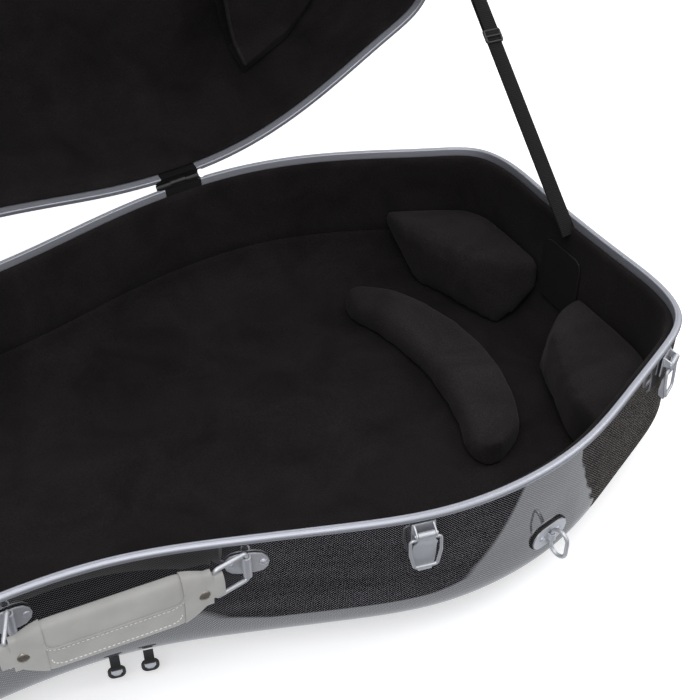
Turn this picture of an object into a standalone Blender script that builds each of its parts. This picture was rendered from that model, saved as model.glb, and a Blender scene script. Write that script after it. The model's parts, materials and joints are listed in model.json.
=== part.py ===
"""Hard-shell cello case, lying on its back with the lid open.

The case is laid out in a plan frame: x runs along the case with the tail end at 0 and the neck end at
-CASE_LENGTH, y is positive on the hinge side, and z is 0 on the plane where the two rims meet.
At the end the whole case is moved so that its open outline stands centred on the origin, on z = 0.
"""
from math import atan, cos, pi, radians, sin, tan

import bmesh
import bpy
import numpy as np
from mathutils import Matrix, Vector

MM = 0.001
GAP = 0.3 * MM

# Outline of the rims seen from above, in mm: x from the tail end, half width on the latch side and on
# the hinge side, which is drawn a little flatter at the lower bout so that the hinges seat on it.
CASE_LENGTH = 1330 * MM
OUTLINE = (
    (0, 60, 70), (0, 104, 118), (-13, 147, 157), (-50, 176, 180), (-100, 204, 204), (-160, 234, 228),
    (-220, 248, 240), (-280, 247, 239), (-350, 228, 226), (-420, 204, 205), (-490, 185, 188),
    (-560, 181, 182), (-640, 187, 187), (-710, 190, 190), (-780, 180, 180), (-850, 154, 154),
    (-910, 126, 126), (-980, 108, 108), (-1070, 100, 100), (-1170, 96, 96), (-1260, 88, 88),
    (-1310, 66, 66), (-1328, 34, 34),
)
RING_POINTS = 56
NORMAL_SMOOTHING = 90 * MM
ARC_ROWS = 5

# Shells
SHELL_THICKNESS = 2.7 * MM
BASE_DEPTH = 126 * MM
LID_DEPTH = 128 * MM
NECK_DEPTH_LOSS = 26 * MM
NECK_TAPER_START = 850 * MM
DRAFT = 0.085
BASE_CORNER_RADIUS = 47 * MM
LID_CORNER_RADIUS = 62 * MM
BASE_CROWN = 2 * MM
LID_CROWN = 14 * MM
CROWN_FULL_WIDTH = 250 * MM
CROWN_RUN = 160 * MM

# Rims: aluminium channels pushed over the shell edges
RIM_WIDTH = 5.5 * MM
RIM_HEIGHT = 4.2 * MM
RIM_WALL = 1.1 * MM
RIM_EDGE_RADIUS = 0.8 * MM
RIM_GROOVE_WIDTH = 1.4 * MM
RIM_GROOVE_DEPTH = 0.7 * MM

# Linings
LINING_THICKNESS = 7 * MM
LID_LINING_THICKNESS = 6 * MM
LINING_TOP = 1.6 * MM
LINING_ROWS = 5
LINING_SEAT = SHELL_THICKNESS + 2.8 * GAP

# Hinges
LID_OPEN_ANGLE = radians(77.4)
HINGE_WIDTH = 42 * MM
HINGE_AXIS_OUT = 2.3 * MM
KNUCKLE_RADIUS = 2.4 * MM
KNUCKLE_SHARE = 0.31
HINGE_PIN_RADIUS = 1.1 * MM
HINGE_APRON = 14 * MM
HINGE_PLATE = 1.8 * MM
NOTCH_DEPTH = RIM_WIDTH - RIM_WALL - 0.2 * MM

# Draw latches
LATCH_PLACES = (-47 * MM, -295 * MM, -700 * MM, -1010 * MM)
LATCH_DROP = 18 * MM
LEVER_WIDTH = 17 * MM
LEVER_BELOW = 31 * MM
EAR_SPAN = 13.5 * MM
LEVER_PIVOT = (7.0 * MM, 4.8 * MM)
BAIL_PIVOT = (6.2 * MM, 0.0)
ROLL_RADIUS = 2.4 * MM
RIVET_RADIUS = 1.2 * MM
SHEET = 1.2 * MM
BAIL_TOP_WIDTH = 24 * MM
BAIL_BOTTOM_WIDTH = 16 * MM
BAIL_RADIUS = 1.2 * MM
BAIL_RISE = RIM_HEIGHT + 2.5 * GAP + SHEET + BAIL_RADIUS
BAIL_LENGTH = LATCH_DROP + BAIL_RISE
KEEPER_WIDTH = 11 * MM
KEEPER_HEIGHT = 15 * MM
KEEPER_DROP = 12 * MM

# Side handle
HANDLE_PLATE_X = (-407.5 * MM, -559.5 * MM)
HANDLE_DROP = 23 * MM
HANDLE_PLATE_LENGTH = 30 * MM
HANDLE_PLATE_HEIGHT = 19 * MM
HANDLE_BRIDGE = 19 * MM
LOOP_RADIUS = 1.6 * MM
LOOP_BEND = 2.6 * MM
LOOP_LENGTH = 24.5 * MM
LOOP_HEIGHT = 29.4 * MM
LOOP_REST_ANGLES = (radians(20), radians(79))
GRIP_END = 5.5 * MM
GRIP_TAB_LENGTH = 12.5 * MM
GRIP_TAB_THICKNESS = 9.6 * MM
GRIP_SWELL = 22 * MM
GRIP_END_HEIGHT = 31 * MM
GRIP_HEIGHT = 48 * MM
GRIP_THICKNESS = 17 * MM
GRIP_SIDES = 12
GRIP_SLACK_ALONG = 1.8 * MM
GRIP_SLACK_ACROSS = 0.9 * MM
GRIP_RIVET_PLACE = 9 * MM
GRIP_RIVET_RADIUS = 3.4 * MM

# Strap rings
OVAL_RING_PLACES = (-190 * MM, -930 * MM)
OVAL_RING_DROP = 74 * MM
OVAL_RING_HEIGHT = 27 * MM
OVAL_RING_WIDTH = 17 * MM
OVAL_BRIDGE = 5.5 * MM
OVAL_RING_RADIUS = 1.5 * MM
OVAL_PLATE_LENGTH = 34 * MM
OVAL_PLATE_HEIGHT = 18 * MM
GASKET_THICKNESS = 1.0 * MM
TAB_PLACES = (-474 * MM, -497 * MM)
TAB_DROP = 108 * MM
TAB_WIDTH = 7 * MM
TAB_LENGTH = 10 * MM
TAB_THICKNESS = 2.4 * MM
TAB_RING_RADIUS = 1.0 * MM
TAB_RING_DROP = 9 * MM

# Inside
TAIL_CENTRE_Y = 7 * MM
TAIL_BLOCK_GAP = 56 * MM
TAIL_BLOCK_END = (-100 * MM, -68 * MM)
TAIL_BLOCK_TOP_DROP = 55 * MM
TAIL_BLOCK_FRONT = (
    ((-104, 150), (-96, 126)), ((-91, 104), (-86, 98)), ((-72, 63), (-76, 62)), ((-44, 37), (-66, 34)),
)
SHOULDER_PAD_START = -800 * MM
SHOULDER_PAD_END = (-890 * MM, -890 * MM)
SHOULDER_PAD_TOP_DROP = 52 * MM
SHOULDER_PAD_FRONT = (((-884, 66), (-884, 56)), ((-846, 84), (-850, 66)), ((-806, 128), (-814, 96)))
WALL_PAD_STEPS = 6
CRESCENT_TAIL_RADIUS = 235 * MM
CRESCENT_NECK_RADIUS = 300 * MM
CRESCENT_HALF_LENGTH = 150 * MM
CRESCENT_WIDTH = 60 * MM
CRESCENT_BACK = -97 * MM
CRESCENT_HEIGHT = 22 * MM
CRESCENT_SOFT = 4 * MM
CRADLE_X = -1060 * MM
CRADLE_LENGTH = 70 * MM
CRADLE_TOP_DROP = 42 * MM
CRADLE_TROUGH = 28 * MM
PATCH_WIDTH = 53 * MM
PATCH_HEIGHT = 58 * MM
PATCH_DROP = 27 * MM
PATCH_THICKNESS = 1.6 * MM
POCKET_MOUTH = -172 * MM
POCKET_END = (-62 * MM, -98 * MM)
POCKET_INNER_Y = 62 * MM
POCKET_OUTER_DROP = 68 * MM
POCKET_DEPTH = 26 * MM
POCKET_WALL = 2.2 * MM

# Stay strap
STRAP_WIDTH = 20 * MM
STRAP_THICKNESS = 1.6 * MM
STRAP_FOOT_Y = 4 * MM
STRAP_FOOT_DROP = 6 * MM
STRAP_SEWN = 16 * MM
STRAP_LID_DROP = 9 * MM
SLIDE_PLACE = 0.52
SLIDE_BAR = 2.4 * MM
SLIDE_LENGTH = 13 * MM

# Feet
FOOT_HEIGHT = 9 * MM
FOOT_RADIUS = 14 * MM
FOOT_PLACES = ((-230 * MM, 160 * MM), (-700 * MM, 112 * MM))


def closed_spline(points, steps):
    """Smooth closed curve through the points: a cubic whose second derivatives meet all the way round."""
    p = np.array(points, float)
    n = len(p)
    h = np.hypot(*(np.roll(p, -1, axis=0) - p).T)
    slope = (np.roll(p, -1, axis=0) - p) / h[:, None]
    system = np.zeros((n, n))
    for i in range(n):
        system[i, i - 1] = h[i - 1]
        system[i, i] = 2 * (h[i - 1] + h[i])
        system[i, (i + 1) % n] = h[i]
    bend = np.linalg.solve(system, 6 * (slope - np.roll(slope, 1, axis=0)))
    curve = []
    for i in range(n):
        j = (i + 1) % n
        for t in np.linspace(0, h[i], steps, endpoint=False):
            left, right = (h[i] - t) / h[i], t / h[i]
            bow = ((left ** 3 - left) * bend[i] + (right ** 3 - right) * bend[j]) * h[i] ** 2 / 6
            curve.append(left * p[i] + right * p[j] + bow)
    return np.array(curve)


def unit(v):
    return v / np.linalg.norm(v, axis=-1, keepdims=True)


def inward_normals(ring):
    """Unit normals of a ring that runs anticlockwise seen from above, pointing to its inside."""
    along = unit(np.roll(ring, -1, axis=0) - np.roll(ring, 1, axis=0))
    return np.c_[-along[:, 1], along[:, 0]]


def mitres(ring):
    """Directions that keep each side of the ring parallel to itself when the points move along them."""
    before = unit(ring - np.roll(ring, 1, axis=0))
    after = unit(np.roll(ring, -1, axis=0) - ring)
    n0 = np.c_[-before[:, 1], before[:, 0]]
    n1 = np.c_[-after[:, 1], after[:, 0]]
    middle = unit(n0 + n1)
    return middle / np.sum(middle * n0, axis=1)[:, None]


def outline_points():
    """Anticlockwise: up the hinge side from the tail to the neck, and back along the latch side."""
    hinge = [(x * MM, wide * MM) for x, _, wide in OUTLINE]
    latch = [(x * MM, -wide * MM) for x, wide, _ in OUTLINE]
    return hinge + [(-CASE_LENGTH, 0.0)] + latch[::-1]


DENSE = closed_spline(outline_points(), 24)


def hinge_line():
    """The line that touches the hinge side of the rim at the lower and at the upper bout.

    Returns its direction and the two touching points.
    """
    side = DENSE[DENSE[:, 1] > 0]
    lower = side[side[:, 0] > -500 * MM]
    upper = side[(side[:, 0] < -560 * MM) & (side[:, 0] > -850 * MM)]
    low_tilt, high_tilt = 0.0, radians(20)
    for _ in range(40):
        tilt = (low_tilt + high_tilt) / 2
        normal = np.array([-sin(tilt), cos(tilt)])
        if (lower @ normal).max() > (upper @ normal).max():
            low_tilt = tilt
        else:
            high_tilt = tilt
    along = np.array([cos(tilt), sin(tilt)])
    normal = np.array([-sin(tilt), cos(tilt)])
    reach = (lower @ normal).max()
    touch = [part[int((part @ normal).argmax())] for part in (lower, upper)]
    return along, [along * (spot @ along) + normal * reach for spot in touch]


HINGE_ALONG, HINGE_TOUCH = hinge_line()


def ring_samples():
    """RING_POINTS points of the outline, closer together where it turns, mirrored in their count.

    On the hinge side two of them are moved to the ends of a straight run under each hinge.
    """
    n = len(DENSE)
    start = int(np.argmin(np.abs(DENSE[:, 1]) + (DENSE[:, 0] < -0.5)))
    ring = np.roll(DENSE, -start, axis=0)
    step = np.hypot(*(np.roll(ring, -1, axis=0) - ring).T)
    heading = np.unwrap(np.arctan2(*(np.roll(ring, -1, axis=0) - ring).T[::-1]))
    turn = np.abs(np.gradient(heading))
    weight = step + 0.09 * turn
    half = int(np.argmin(ring[:, 0]))
    picked = []
    for first, last in ((0, half), (half, n)):
        total = np.concatenate([[0], np.cumsum(weight[first:last])])
        marks = np.linspace(0, total[-1], RING_POINTS // 2, endpoint=False)
        picked += [first + int(np.argmin(np.abs(total - mark))) for mark in marks]
    arc = np.concatenate([[0], np.cumsum(step)])[:-1]
    normals = inward_normals(ring)
    smooth = []
    length = step.sum()
    for i in picked:
        away = np.abs(arc - arc[i])
        away = np.minimum(away, length - away)
        share = np.clip(1 - away / NORMAL_SMOOTHING, 0, None) * step
        smooth.append((normals * share[:, None]).sum(axis=0))
    points = ring[picked]
    seat = HINGE_ALONG * (HINGE_WIDTH / 2 + 3 * MM)
    for spot in HINGE_TOUCH:
        first = int(np.argmin(np.hypot(*(points - spot - seat).T)))
        points[first] = spot + seat
        points[first + 1] = spot - seat
    return points, unit(np.array(smooth))


RING, LEAN = ring_samples()
MITRE = mitres(RING)
TRUE_INSET = 12 * MM


def inset_ring(inset):
    """The outline moved inwards: true to its sides near the rim, then towards the smoothed middle."""
    inset = np.broadcast_to(inset, len(RING))[:, None]
    return RING + MITRE * np.minimum(inset, TRUE_INSET) + LEAN * np.maximum(inset - TRUE_INSET, 0)


class Section:
    """The outer face of a shell below (or above) the rim plane: a drafted wall and a round corner."""

    def __init__(self, depth, radius, lining):
        self.depth = depth
        self.radius = radius
        self.lining = lining

    def depth_at(self, x):
        along = (-x - NECK_TAPER_START) / (CASE_LENGTH - NECK_TAPER_START)
        return self.depth - NECK_DEPTH_LOSS * np.clip(along, 0, 1)

    def wall_end(self, x):
        return self.depth_at(x) - self.radius

    def inset(self, x, drop):
        """Distance inwards from the outline to the shell's outer face, at a drop from the rim plane."""
        start = RIM_WALL + GAP
        round_part = np.clip((drop - self.wall_end(x)) / self.radius, 0, 1)
        corner = self.radius * (1 - np.sqrt(1 - round_part ** 2))
        return start + DRAFT * np.minimum(drop, self.wall_end(x)) + corner

    def levels(self, offset, first, steps):
        """Rows of (inset, drop) for every ring point, on the surface lying `offset` inside the shell."""
        x = RING[:, 0]
        rows = [(self.inset(x, np.full(len(x), first)) + offset, np.full(len(x), first))]
        end = self.wall_end(x)
        radius = self.radius - offset
        base = self.inset(x, end) + offset
        for angle in np.linspace(0, pi / 2, steps):
            rows.append((base + radius * (1 - cos(angle)), end + radius * sin(angle)))
        return rows

    def faceted_inset(self, offset, drop, steps):
        """The inset, all round, of the faceted face between the rows that levels() gives."""
        rows = self.levels(offset, RIM_WALL + GAP, steps)
        insets = np.array([row[0] for row in rows])
        drops = np.array([row[1] for row in rows])
        return np.array([np.interp(drop, drops[:, i], insets[:, i]) for i in range(RING_POINTS)])

    def lining_offset(self):
        return LINING_SEAT + self.lining


BASE = Section(BASE_DEPTH, BASE_CORNER_RADIUS, LINING_THICKNESS)
LID = Section(LID_DEPTH, LID_CORNER_RADIUS, LID_LINING_THICKNESS)


def clear_scene():
    for item in list(bpy.data.objects):
        bpy.data.objects.remove(item, do_unlink=True)


def material(name, colour, roughness, metallic=0.0):
    """A Principled material from an sRGB colour."""
    linear = [((c + 0.055) / 1.055) ** 2.4 if c > 0.04045 else c / 12.92 for c in colour]
    made = bpy.data.materials.new(name)
    made.use_nodes = True
    shader = made.node_tree.nodes["Principled BSDF"]
    shader.inputs["Base Color"].default_value = (*linear, 1)
    shader.inputs["Roughness"].default_value = roughness
    shader.inputs["Metallic"].default_value = metallic
    return made


def add_mesh(name, verts, faces, paint, sharp=35):
    """An object from points and faces, with its faces turned outwards."""
    mesh = bpy.data.meshes.new(name)
    mesh.from_pydata([tuple(v) for v in verts], [], [tuple(f) for f in faces])
    shape = bmesh.new()
    shape.from_mesh(mesh)
    bmesh.ops.recalc_face_normals(shape, faces=shape.faces)
    shape.to_mesh(mesh)
    shape.free()
    mesh.shade_smooth()
    mesh.set_sharp_from_angle(angle=radians(sharp))
    made = bpy.data.objects.new(name, mesh)
    bpy.context.scene.collection.objects.link(made)
    mesh.materials.append(paint)
    return made


def solid_of_rings(name, rings, paint, caps=True, closed=False, sharp=35):
    """Rings of equal count joined in order: capped at both ends, or closed on themselves as a hoop."""
    count = len(rings[0])
    verts = [v for ring in rings for v in ring]
    faces = []
    last = len(rings) if closed else len(rings) - 1
    for k in range(last):
        low, high = k * count, (k + 1) % len(rings) * count
        for i in range(count):
            j = (i + 1) % count
            faces.append((low + i, low + j, high + j, high + i))
    if caps and not closed:
        faces.append(tuple(range(count)))
        faces.append(tuple((len(rings) - 1) * count + i for i in range(count)))
    return add_mesh(name, verts, faces, paint, sharp)


def prism(name, polygon, low, high, paint, sharp=35):
    """A polygon in x, y stood up between two heights."""
    rings = [[(x, y, z) for x, y in polygon] for z in (low, high)]
    return solid_of_rings(name, rings, paint, sharp=sharp)


def wire(name, points, radius, paint, closed=False, resolution=1):
    """A round wire along the points, as a bevelled curve with filled ends."""
    curve = bpy.data.curves.new(name, "CURVE")
    curve.dimensions = "3D"
    curve.bevel_depth = radius
    curve.bevel_resolution = resolution
    curve.use_fill_caps = True
    line = curve.splines.new("POLY")
    line.points.add(len(points) - 1)
    for spot, point in zip(line.points, points):
        spot.co = (*point, 1)
    line.use_cyclic_u = closed
    curve.materials.append(paint)
    made = bpy.data.objects.new(name, curve)
    bpy.context.scene.collection.objects.link(made)
    return made


def rounded_path(corners, radius, steps=4, closed=False):
    """A path of straight runs whose corners are turned with arcs."""
    points = [Vector(c) for c in corners]
    path = []
    for i, corner in enumerate(points):
        if not closed and i in (0, len(points) - 1):
            path.append(corner)
            continue
        before = (points[i - 1] - corner).normalized()
        after = (points[(i + 1) % len(points)] - corner).normalized()
        half = before.angle(after) / 2
        reach = radius / tan(half)
        centre = corner + (before + after).normalized() * radius / sin(half)
        start, end = corner + before * reach - centre, corner + after * reach - centre
        sweep = start.angle(end)
        for k in range(steps + 1):
            t = k / steps
            mixed = (start * sin((1 - t) * sweep) + end * sin(t * sweep)) / sin(sweep)
            path.append(centre + mixed)
    return path


def combine(target, others, how):
    """Cut the others from the target, or join them to it, and keep one finished mesh."""
    for other in others:
        step = target.modifiers.new(how.lower(), "BOOLEAN")
        step.operation = how
        step.solver = "EXACT"
        step.object = other
    bpy.context.view_layer.update()
    graph = bpy.context.evaluated_depsgraph_get()
    mesh = bpy.data.meshes.new_from_object(target.evaluated_get(graph))
    target.modifiers.clear()
    target.data = mesh
    for other in others:
        bpy.data.objects.remove(other, do_unlink=True)
    return target


def place(item, matrix, parent=None):
    item.parent = parent
    item.matrix_world = matrix if parent is None else parent.matrix_world @ matrix
    return item


def lid_place(item, hinge, matrix=Matrix()):
    """Hang an object that was modelled on the closed lid from the lid's hinge axis."""
    item.parent = hinge
    item.matrix_parent_inverse = Matrix()
    item.matrix_local = Matrix.Translation(-HINGE_SPOTS[0]) @ matrix
    return item


def surface(rows, sign):
    """Rings of a section's rows: sign -1 lies below the rim plane and 1 above it."""
    return [np.c_[inset_ring(inset), sign * drop] for inset, drop in rows]


def crown_share(x, width, tail, neck):
    """Share of the full crown at x: it dies out towards both ends and where the panel is narrow."""
    reach = min(abs(x - tail), abs(x - neck))
    return min(1.0, width / CROWN_FULL_WIDTH) * sin(pi / 2 * min(1.0, reach / CROWN_RUN))


def crown_rows(edge, rise, sign, rows=3):
    """Closes a ring across the case by rows that rise to a crown over the middle."""
    half = len(edge) // 2
    lines = []
    for k in range(1, rows + 1):
        u = k / (rows + 1)
        line = []
        for i in range(1, half):
            a, b = edge[i], edge[len(edge) - i]
            share = crown_share((a[0] + b[0]) / 2, abs(a[1] - b[1]), edge[0][0], edge[half][0])
            point = a * (1 - u) + b * u
            line.append(point + np.array([0, 0, sign * rise * share * 4 * u * (1 - u)]))
        lines.append(line)
    return lines


def crowned_shell(name, outer, inner, rise, sign, paint):
    """A tray: outer and inner rings from the rim inwards, each closed by a crowned panel."""
    count = len(outer[0])
    half = count // 2
    verts, faces = [], []

    def add(points):
        verts.extend(points)
        return len(verts) - len(points)

    def patch(p, q, r, s):
        """Two triangles, always on the same diagonal, so that nested skins stay parallel."""
        faces.extend([(p, q, r), (p, r, s)])

    def skin(rings):
        starts = [add(list(ring)) for ring in rings]
        for a, b in zip(starts, starts[1:]):
            for i in range(count):
                j = (i + 1) % count
                patch(a + i, a + j, b + j, b + i)
        edge = starts[-1]
        before = [edge + i for i in range(1, half)]
        for line in crown_rows(rings[-1], rise, sign):
            first = add(line)
            now = [first + i for i in range(half - 1)]
            for i in range(half - 2):
                patch(before[i], before[i + 1], now[i + 1], now[i])
            faces.append((edge, before[0], now[0]))
            faces.append((edge + half, now[-1], before[-1]))
            before = now
        last = [edge + count - i for i in range(1, half)]
        for i in range(half - 2):
            patch(before[i], before[i + 1], last[i + 1], last[i])
        faces.append((edge, before[0], last[0]))
        faces.append((edge + half, last[-1], before[-1]))
        return starts[0]

    top_out = skin(outer)
    top_in = skin(inner)
    for i in range(count):
        j = (i + 1) % count
        faces.append((top_out + i, top_out + j, top_in + j, top_in + i))
    return add_mesh(name, verts, faces, paint)


def shell(name, section, rise, sign, paint):
    edge = RIM_WALL + GAP
    outer = surface(section.levels(0, edge, ARC_ROWS), sign)
    inner = surface(section.levels(SHELL_THICKNESS, edge, ARC_ROWS), sign)
    return crowned_shell(name, outer, inner, rise, sign, paint)


def rim_section(groove):
    """The channel's section as (inset, drop) points: outer flange, web with rounded edges, inner flange."""
    edge = RIM_EDGE_RADIUS
    inside = RIM_WIDTH - RIM_WALL
    points = [(DRAFT * RIM_HEIGHT, RIM_HEIGHT), (0, edge), (0.3 * edge, 0.3 * edge), (edge, 0)]
    if groove:
        middle = RIM_WIDTH / 2
        points += [(middle - RIM_GROOVE_WIDTH / 2, 0), (middle, RIM_GROOVE_DEPTH)]
        points += [(middle + RIM_GROOVE_WIDTH / 2, 0)]
    points += [(RIM_WIDTH - edge, 0), (RIM_WIDTH, edge), (RIM_WIDTH + DRAFT * RIM_HEIGHT, RIM_HEIGHT)]
    points += [(inside + DRAFT * RIM_HEIGHT, RIM_HEIGHT), (inside, RIM_WALL)]
    points += [(RIM_WALL, RIM_WALL), (RIM_WALL + DRAFT * RIM_HEIGHT, RIM_HEIGHT)]
    return points


def rim(name, sign, groove, paint):
    rings = []
    for inset, drop in rim_section(groove):
        height = sign * (drop + GAP / 2)
        rings.append(np.c_[inset_ring(inset), np.full(RING_POINTS, height)])
    return solid_of_rings(name, rings, paint, closed=True, sharp=25)


def lining_head(section):
    """Rows over the top edge of a lining: up inside the rim's flange, over, and on to its face."""
    x = RING[:, 0]
    top = np.full(len(x), LINING_TOP)
    under = np.full(len(x), RIM_HEIGHT + 2 * GAP)
    inside_rim = np.full(len(x), RIM_WIDTH + GAP + DRAFT * RIM_HEIGHT)
    offset = LINING_SEAT
    face = offset + section.lining
    back = [(section.inset(x, under) + offset, under), (inside_rim, under), (inside_rim, top + 1.2 * MM)]
    front = [(section.inset(x, top) + face - 1.5 * MM, top), (section.inset(x, under) + face, under)]
    return back, front


def wall_lining(name, section, sign, paint):
    """A padded band against the shell wall, from the rim down to its seam with the floor."""
    x = RING[:, 0]
    offset = LINING_SEAT
    seam = section.wall_end(x)
    back, front = lining_head(section)
    rows = [*back, *front, (section.inset(x, seam) + offset + section.lining, seam),
            (section.inset(x, seam) + offset, seam)]
    return solid_of_rings(name, surface(rows, sign), paint, closed=True)


def floor_lining(name, section, rise, sign, paint):
    """The padded floor: it lies on the shell, turns up its round corner and ends at the wall's seam."""
    x = RING[:, 0]
    end = section.wall_end(x)
    skins = []
    for offset in (LINING_SEAT, section.lining_offset()):
        rows = section.levels(offset, 0, LINING_ROWS)[1:]
        edge = (section.inset(x, end) + offset, end + GAP)
        skins.append(surface([edge, *rows[1:]], sign))
    return crowned_shell(name, *skins, rise, sign, paint)


def tray_lining(name, section, rise, sign, paint):
    """Lining in one piece: walls, round corner and crowned panel."""
    back, front = lining_head(section)
    outer = section.levels(LINING_SEAT, 0, LINING_ROWS)[1:]
    inner = section.levels(section.lining_offset(), 0, LINING_ROWS)[1:]
    edge = surface([*back[::-1], *outer], sign)
    return crowned_shell(name, edge, surface([*front, *inner], sign), rise, sign, paint)


def wall_frame(section, x, side, drop, sign, reach):
    """Frame on a shell's outer wall: Y points out of the wall, Z up along it and X = Y x Z along it.

    reach is half the length of the plate that seats there: it clears the wall's corners within it.
    """
    walls = []
    for level in (drop, drop + 2 * MM):
        ring = inset_ring(section.faceted_inset(0, level, ARC_ROWS))
        wall = ring[np.sign(ring[:, 1]) == side]
        walls.append(wall[np.argsort(wall[:, 0])])
    wall, lower = walls
    step = wall[np.searchsorted(wall[:, 0], x)] - wall[np.searchsorted(wall[:, 0], x) - 1]
    half = reach * abs(step[0]) / np.hypot(*step)
    spots = x + np.array([-half, half])
    ends = np.c_[spots, np.interp(spots, wall[:, 0], wall[:, 1])]
    along = unit(ends[1] - ends[0])
    outward = side * np.array([-along[1], along[0]])
    between = wall[(wall[:, 0] > spots[0]) & (wall[:, 0] < spots[1])]
    top = max(float(p @ outward) for p in [*ends, *between])
    middle = ends.mean(axis=0)
    middle = middle + outward * (top - middle @ outward)
    below = np.array([x, np.interp(x, lower[:, 0], lower[:, 1])])
    here = np.array([x, np.interp(x, wall[:, 0], wall[:, 1])])
    slope = float((here - below) @ outward) / (2 * MM)
    out_flat = Vector((*outward, 0))
    out = (out_flat + Vector((0, 0, sign * slope))).normalized()
    up = (Vector((0, 0, 1)) - out_flat * sign * slope).normalized()
    frame = Matrix((out.cross(up), out, up)).transposed().to_4x4()
    frame.translation = Vector((*middle, sign * drop))
    return frame


AXIS = Vector((*HINGE_ALONG, 0))
HINGE_OUT = Vector((-AXIS.y, AXIS.x, 0))
HINGE_SPOTS = [Vector((*spot, 0)) + HINGE_OUT * HINGE_AXIS_OUT for spot in HINGE_TOUCH]


def hinge_frame(spot):
    """X along the hinge axis, Y out of the case, Z up."""
    frame = Matrix((AXIS, HINGE_OUT, Vector((0, 0, 1)))).transposed().to_4x4()
    frame.translation = spot
    return frame


def side_prism(name, polygon, low, high, paint):
    """A polygon in y, z extruded along x between two places."""
    rings = [[(x, y, z) for y, z in polygon] for x in (low, high)]
    return solid_of_rings(name, rings, paint)


def round_bar(name, y, z, radius, low, high, paint, sides=12):
    turn = [2 * pi * k / sides for k in range(sides)]
    polygon = [(y + radius * cos(a), z + radius * sin(a)) for a in turn]
    return side_prism(name, polygon, low, high, paint)


def hull(points):
    """Convex outline round points in the plane."""
    points = sorted(set(points))
    chains = []
    for line in (points, points[::-1]):
        chain = []
        for p in line:
            while len(chain) > 1:
                (ax, ay), (bx, by) = chain[-2], chain[-1]
                if (bx - ax) * (p[1] - ay) - (by - ay) * (p[0] - ax) > 0:
                    break
                chain.pop()
            chain.append(p)
        chains.append(chain[:-1])
    return chains[0] + chains[1]


def hinge_leaf(name, sign, paint):
    """A moulded saddle over the shell edge, with its share of the knuckles on the axis at y = z = 0."""
    edge = -HINGE_AXIS_OUT
    start = GAP / 2
    clear = 1.03 * (KNUCKLE_RADIUS + GAP)
    outer = edge - RIM_WALL
    inner = edge - NOTCH_DEPTH + GAP
    apron_lean = DRAFT * HINGE_APRON
    hollow = [(-clear * cos(radians(a)), clear * sin(radians(a))) for a in (52, 28, 4)]
    body = [
        *hollow, (inner, start), (inner, RIM_WALL), (outer, RIM_WALL), (outer - apron_lean, HINGE_APRON),
        (outer + 0.6 * HINGE_PLATE - apron_lean, HINGE_APRON), (outer + HINGE_PLATE, 0.5 * HINGE_APRON),
    ]
    half = HINGE_WIDTH / 2
    leaf = side_prism(name, [(y, sign * z) for y, z in body], -half, half, paint)
    knuckle = HINGE_WIDTH * KNUCKLE_SHARE
    stretches = [(-half, -half + knuckle), (half - knuckle, half)]
    if sign > 0:
        stretches = [(-half + knuckle + GAP, half - knuckle - GAP)]
    half_turn = [pi * k / 6 for k in range(7)]
    dome_side = [(KNUCKLE_RADIUS * cos(a), sign * KNUCKLE_RADIUS * sin(a)) for a in half_turn]
    arm = hull([*dome_side, (outer + 0.1 * MM, sign * start), (outer, sign * 0.45 * HINGE_APRON)])
    others = []
    for low, high in stretches:
        others.append(side_prism("arm", arm, low, high, paint))
        others.append(round_bar("knuckle", 0, 0, KNUCKLE_RADIUS, low, high, paint))
    combine(leaf, others, "UNION")
    bore = round_bar("bore", 0, 0, HINGE_PIN_RADIUS + GAP, -half - MM, half + MM, paint)
    return combine(leaf, [bore], "DIFFERENCE")


def notch(rim_object, paint):
    """Cut a rim's outer flange and web away under the two hinges; its inner flange runs on."""
    cutters = []
    back = -HINGE_AXIS_OUT - NOTCH_DEPTH
    for spot in HINGE_SPOTS:
        reach = HINGE_WIDTH / 2 + GAP
        box = [(back, -9 * MM), (4 * MM, -9 * MM), (4 * MM, 9 * MM), (back, 9 * MM)]
        cutter = side_prism("notch", box, -reach, reach, paint)
        cutter.data.transform(hinge_frame(spot))
        cutters.append(cutter)
    return combine(rim_object, cutters, "DIFFERENCE")


def latch_bracket(name, paint):
    """Riveted back plate with two ears that stand out of the wall and carry the lever's pin."""
    half = LEVER_WIDTH / 2
    py, pz = LEVER_PIVOT
    top = pz + ROLL_RADIUS + 3 * MM
    plate = [(-half, -8 * MM), (half, -8 * MM), (half, top), (-half, top)]
    rings = [[(x, y, z) for x, z in plate] for y in (GAP, GAP + SHEET)]
    bracket = solid_of_rings(name, rings, paint)
    nose = [(py + ROLL_RADIUS * cos(a), pz + ROLL_RADIUS * sin(a)) for a in np.linspace(-pi / 2, pi / 2, 6)]
    root = GAP + SHEET / 2
    ear = [(root, top - 0.4 * MM), (root, 1.2 * MM), *nose]
    others = []
    for middle in (-EAR_SPAN / 2, EAR_SPAN / 2):
        others.append(side_prism("ear", ear, middle - SHEET / 2, middle + SHEET / 2, paint))
    reach = EAR_SPAN / 2 + SHEET / 2 + 0.8 * MM
    others.append(round_bar("pin", py, pz, RIVET_RADIUS, -reach, reach, paint, 10))
    return combine(bracket, others, "UNION")


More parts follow.
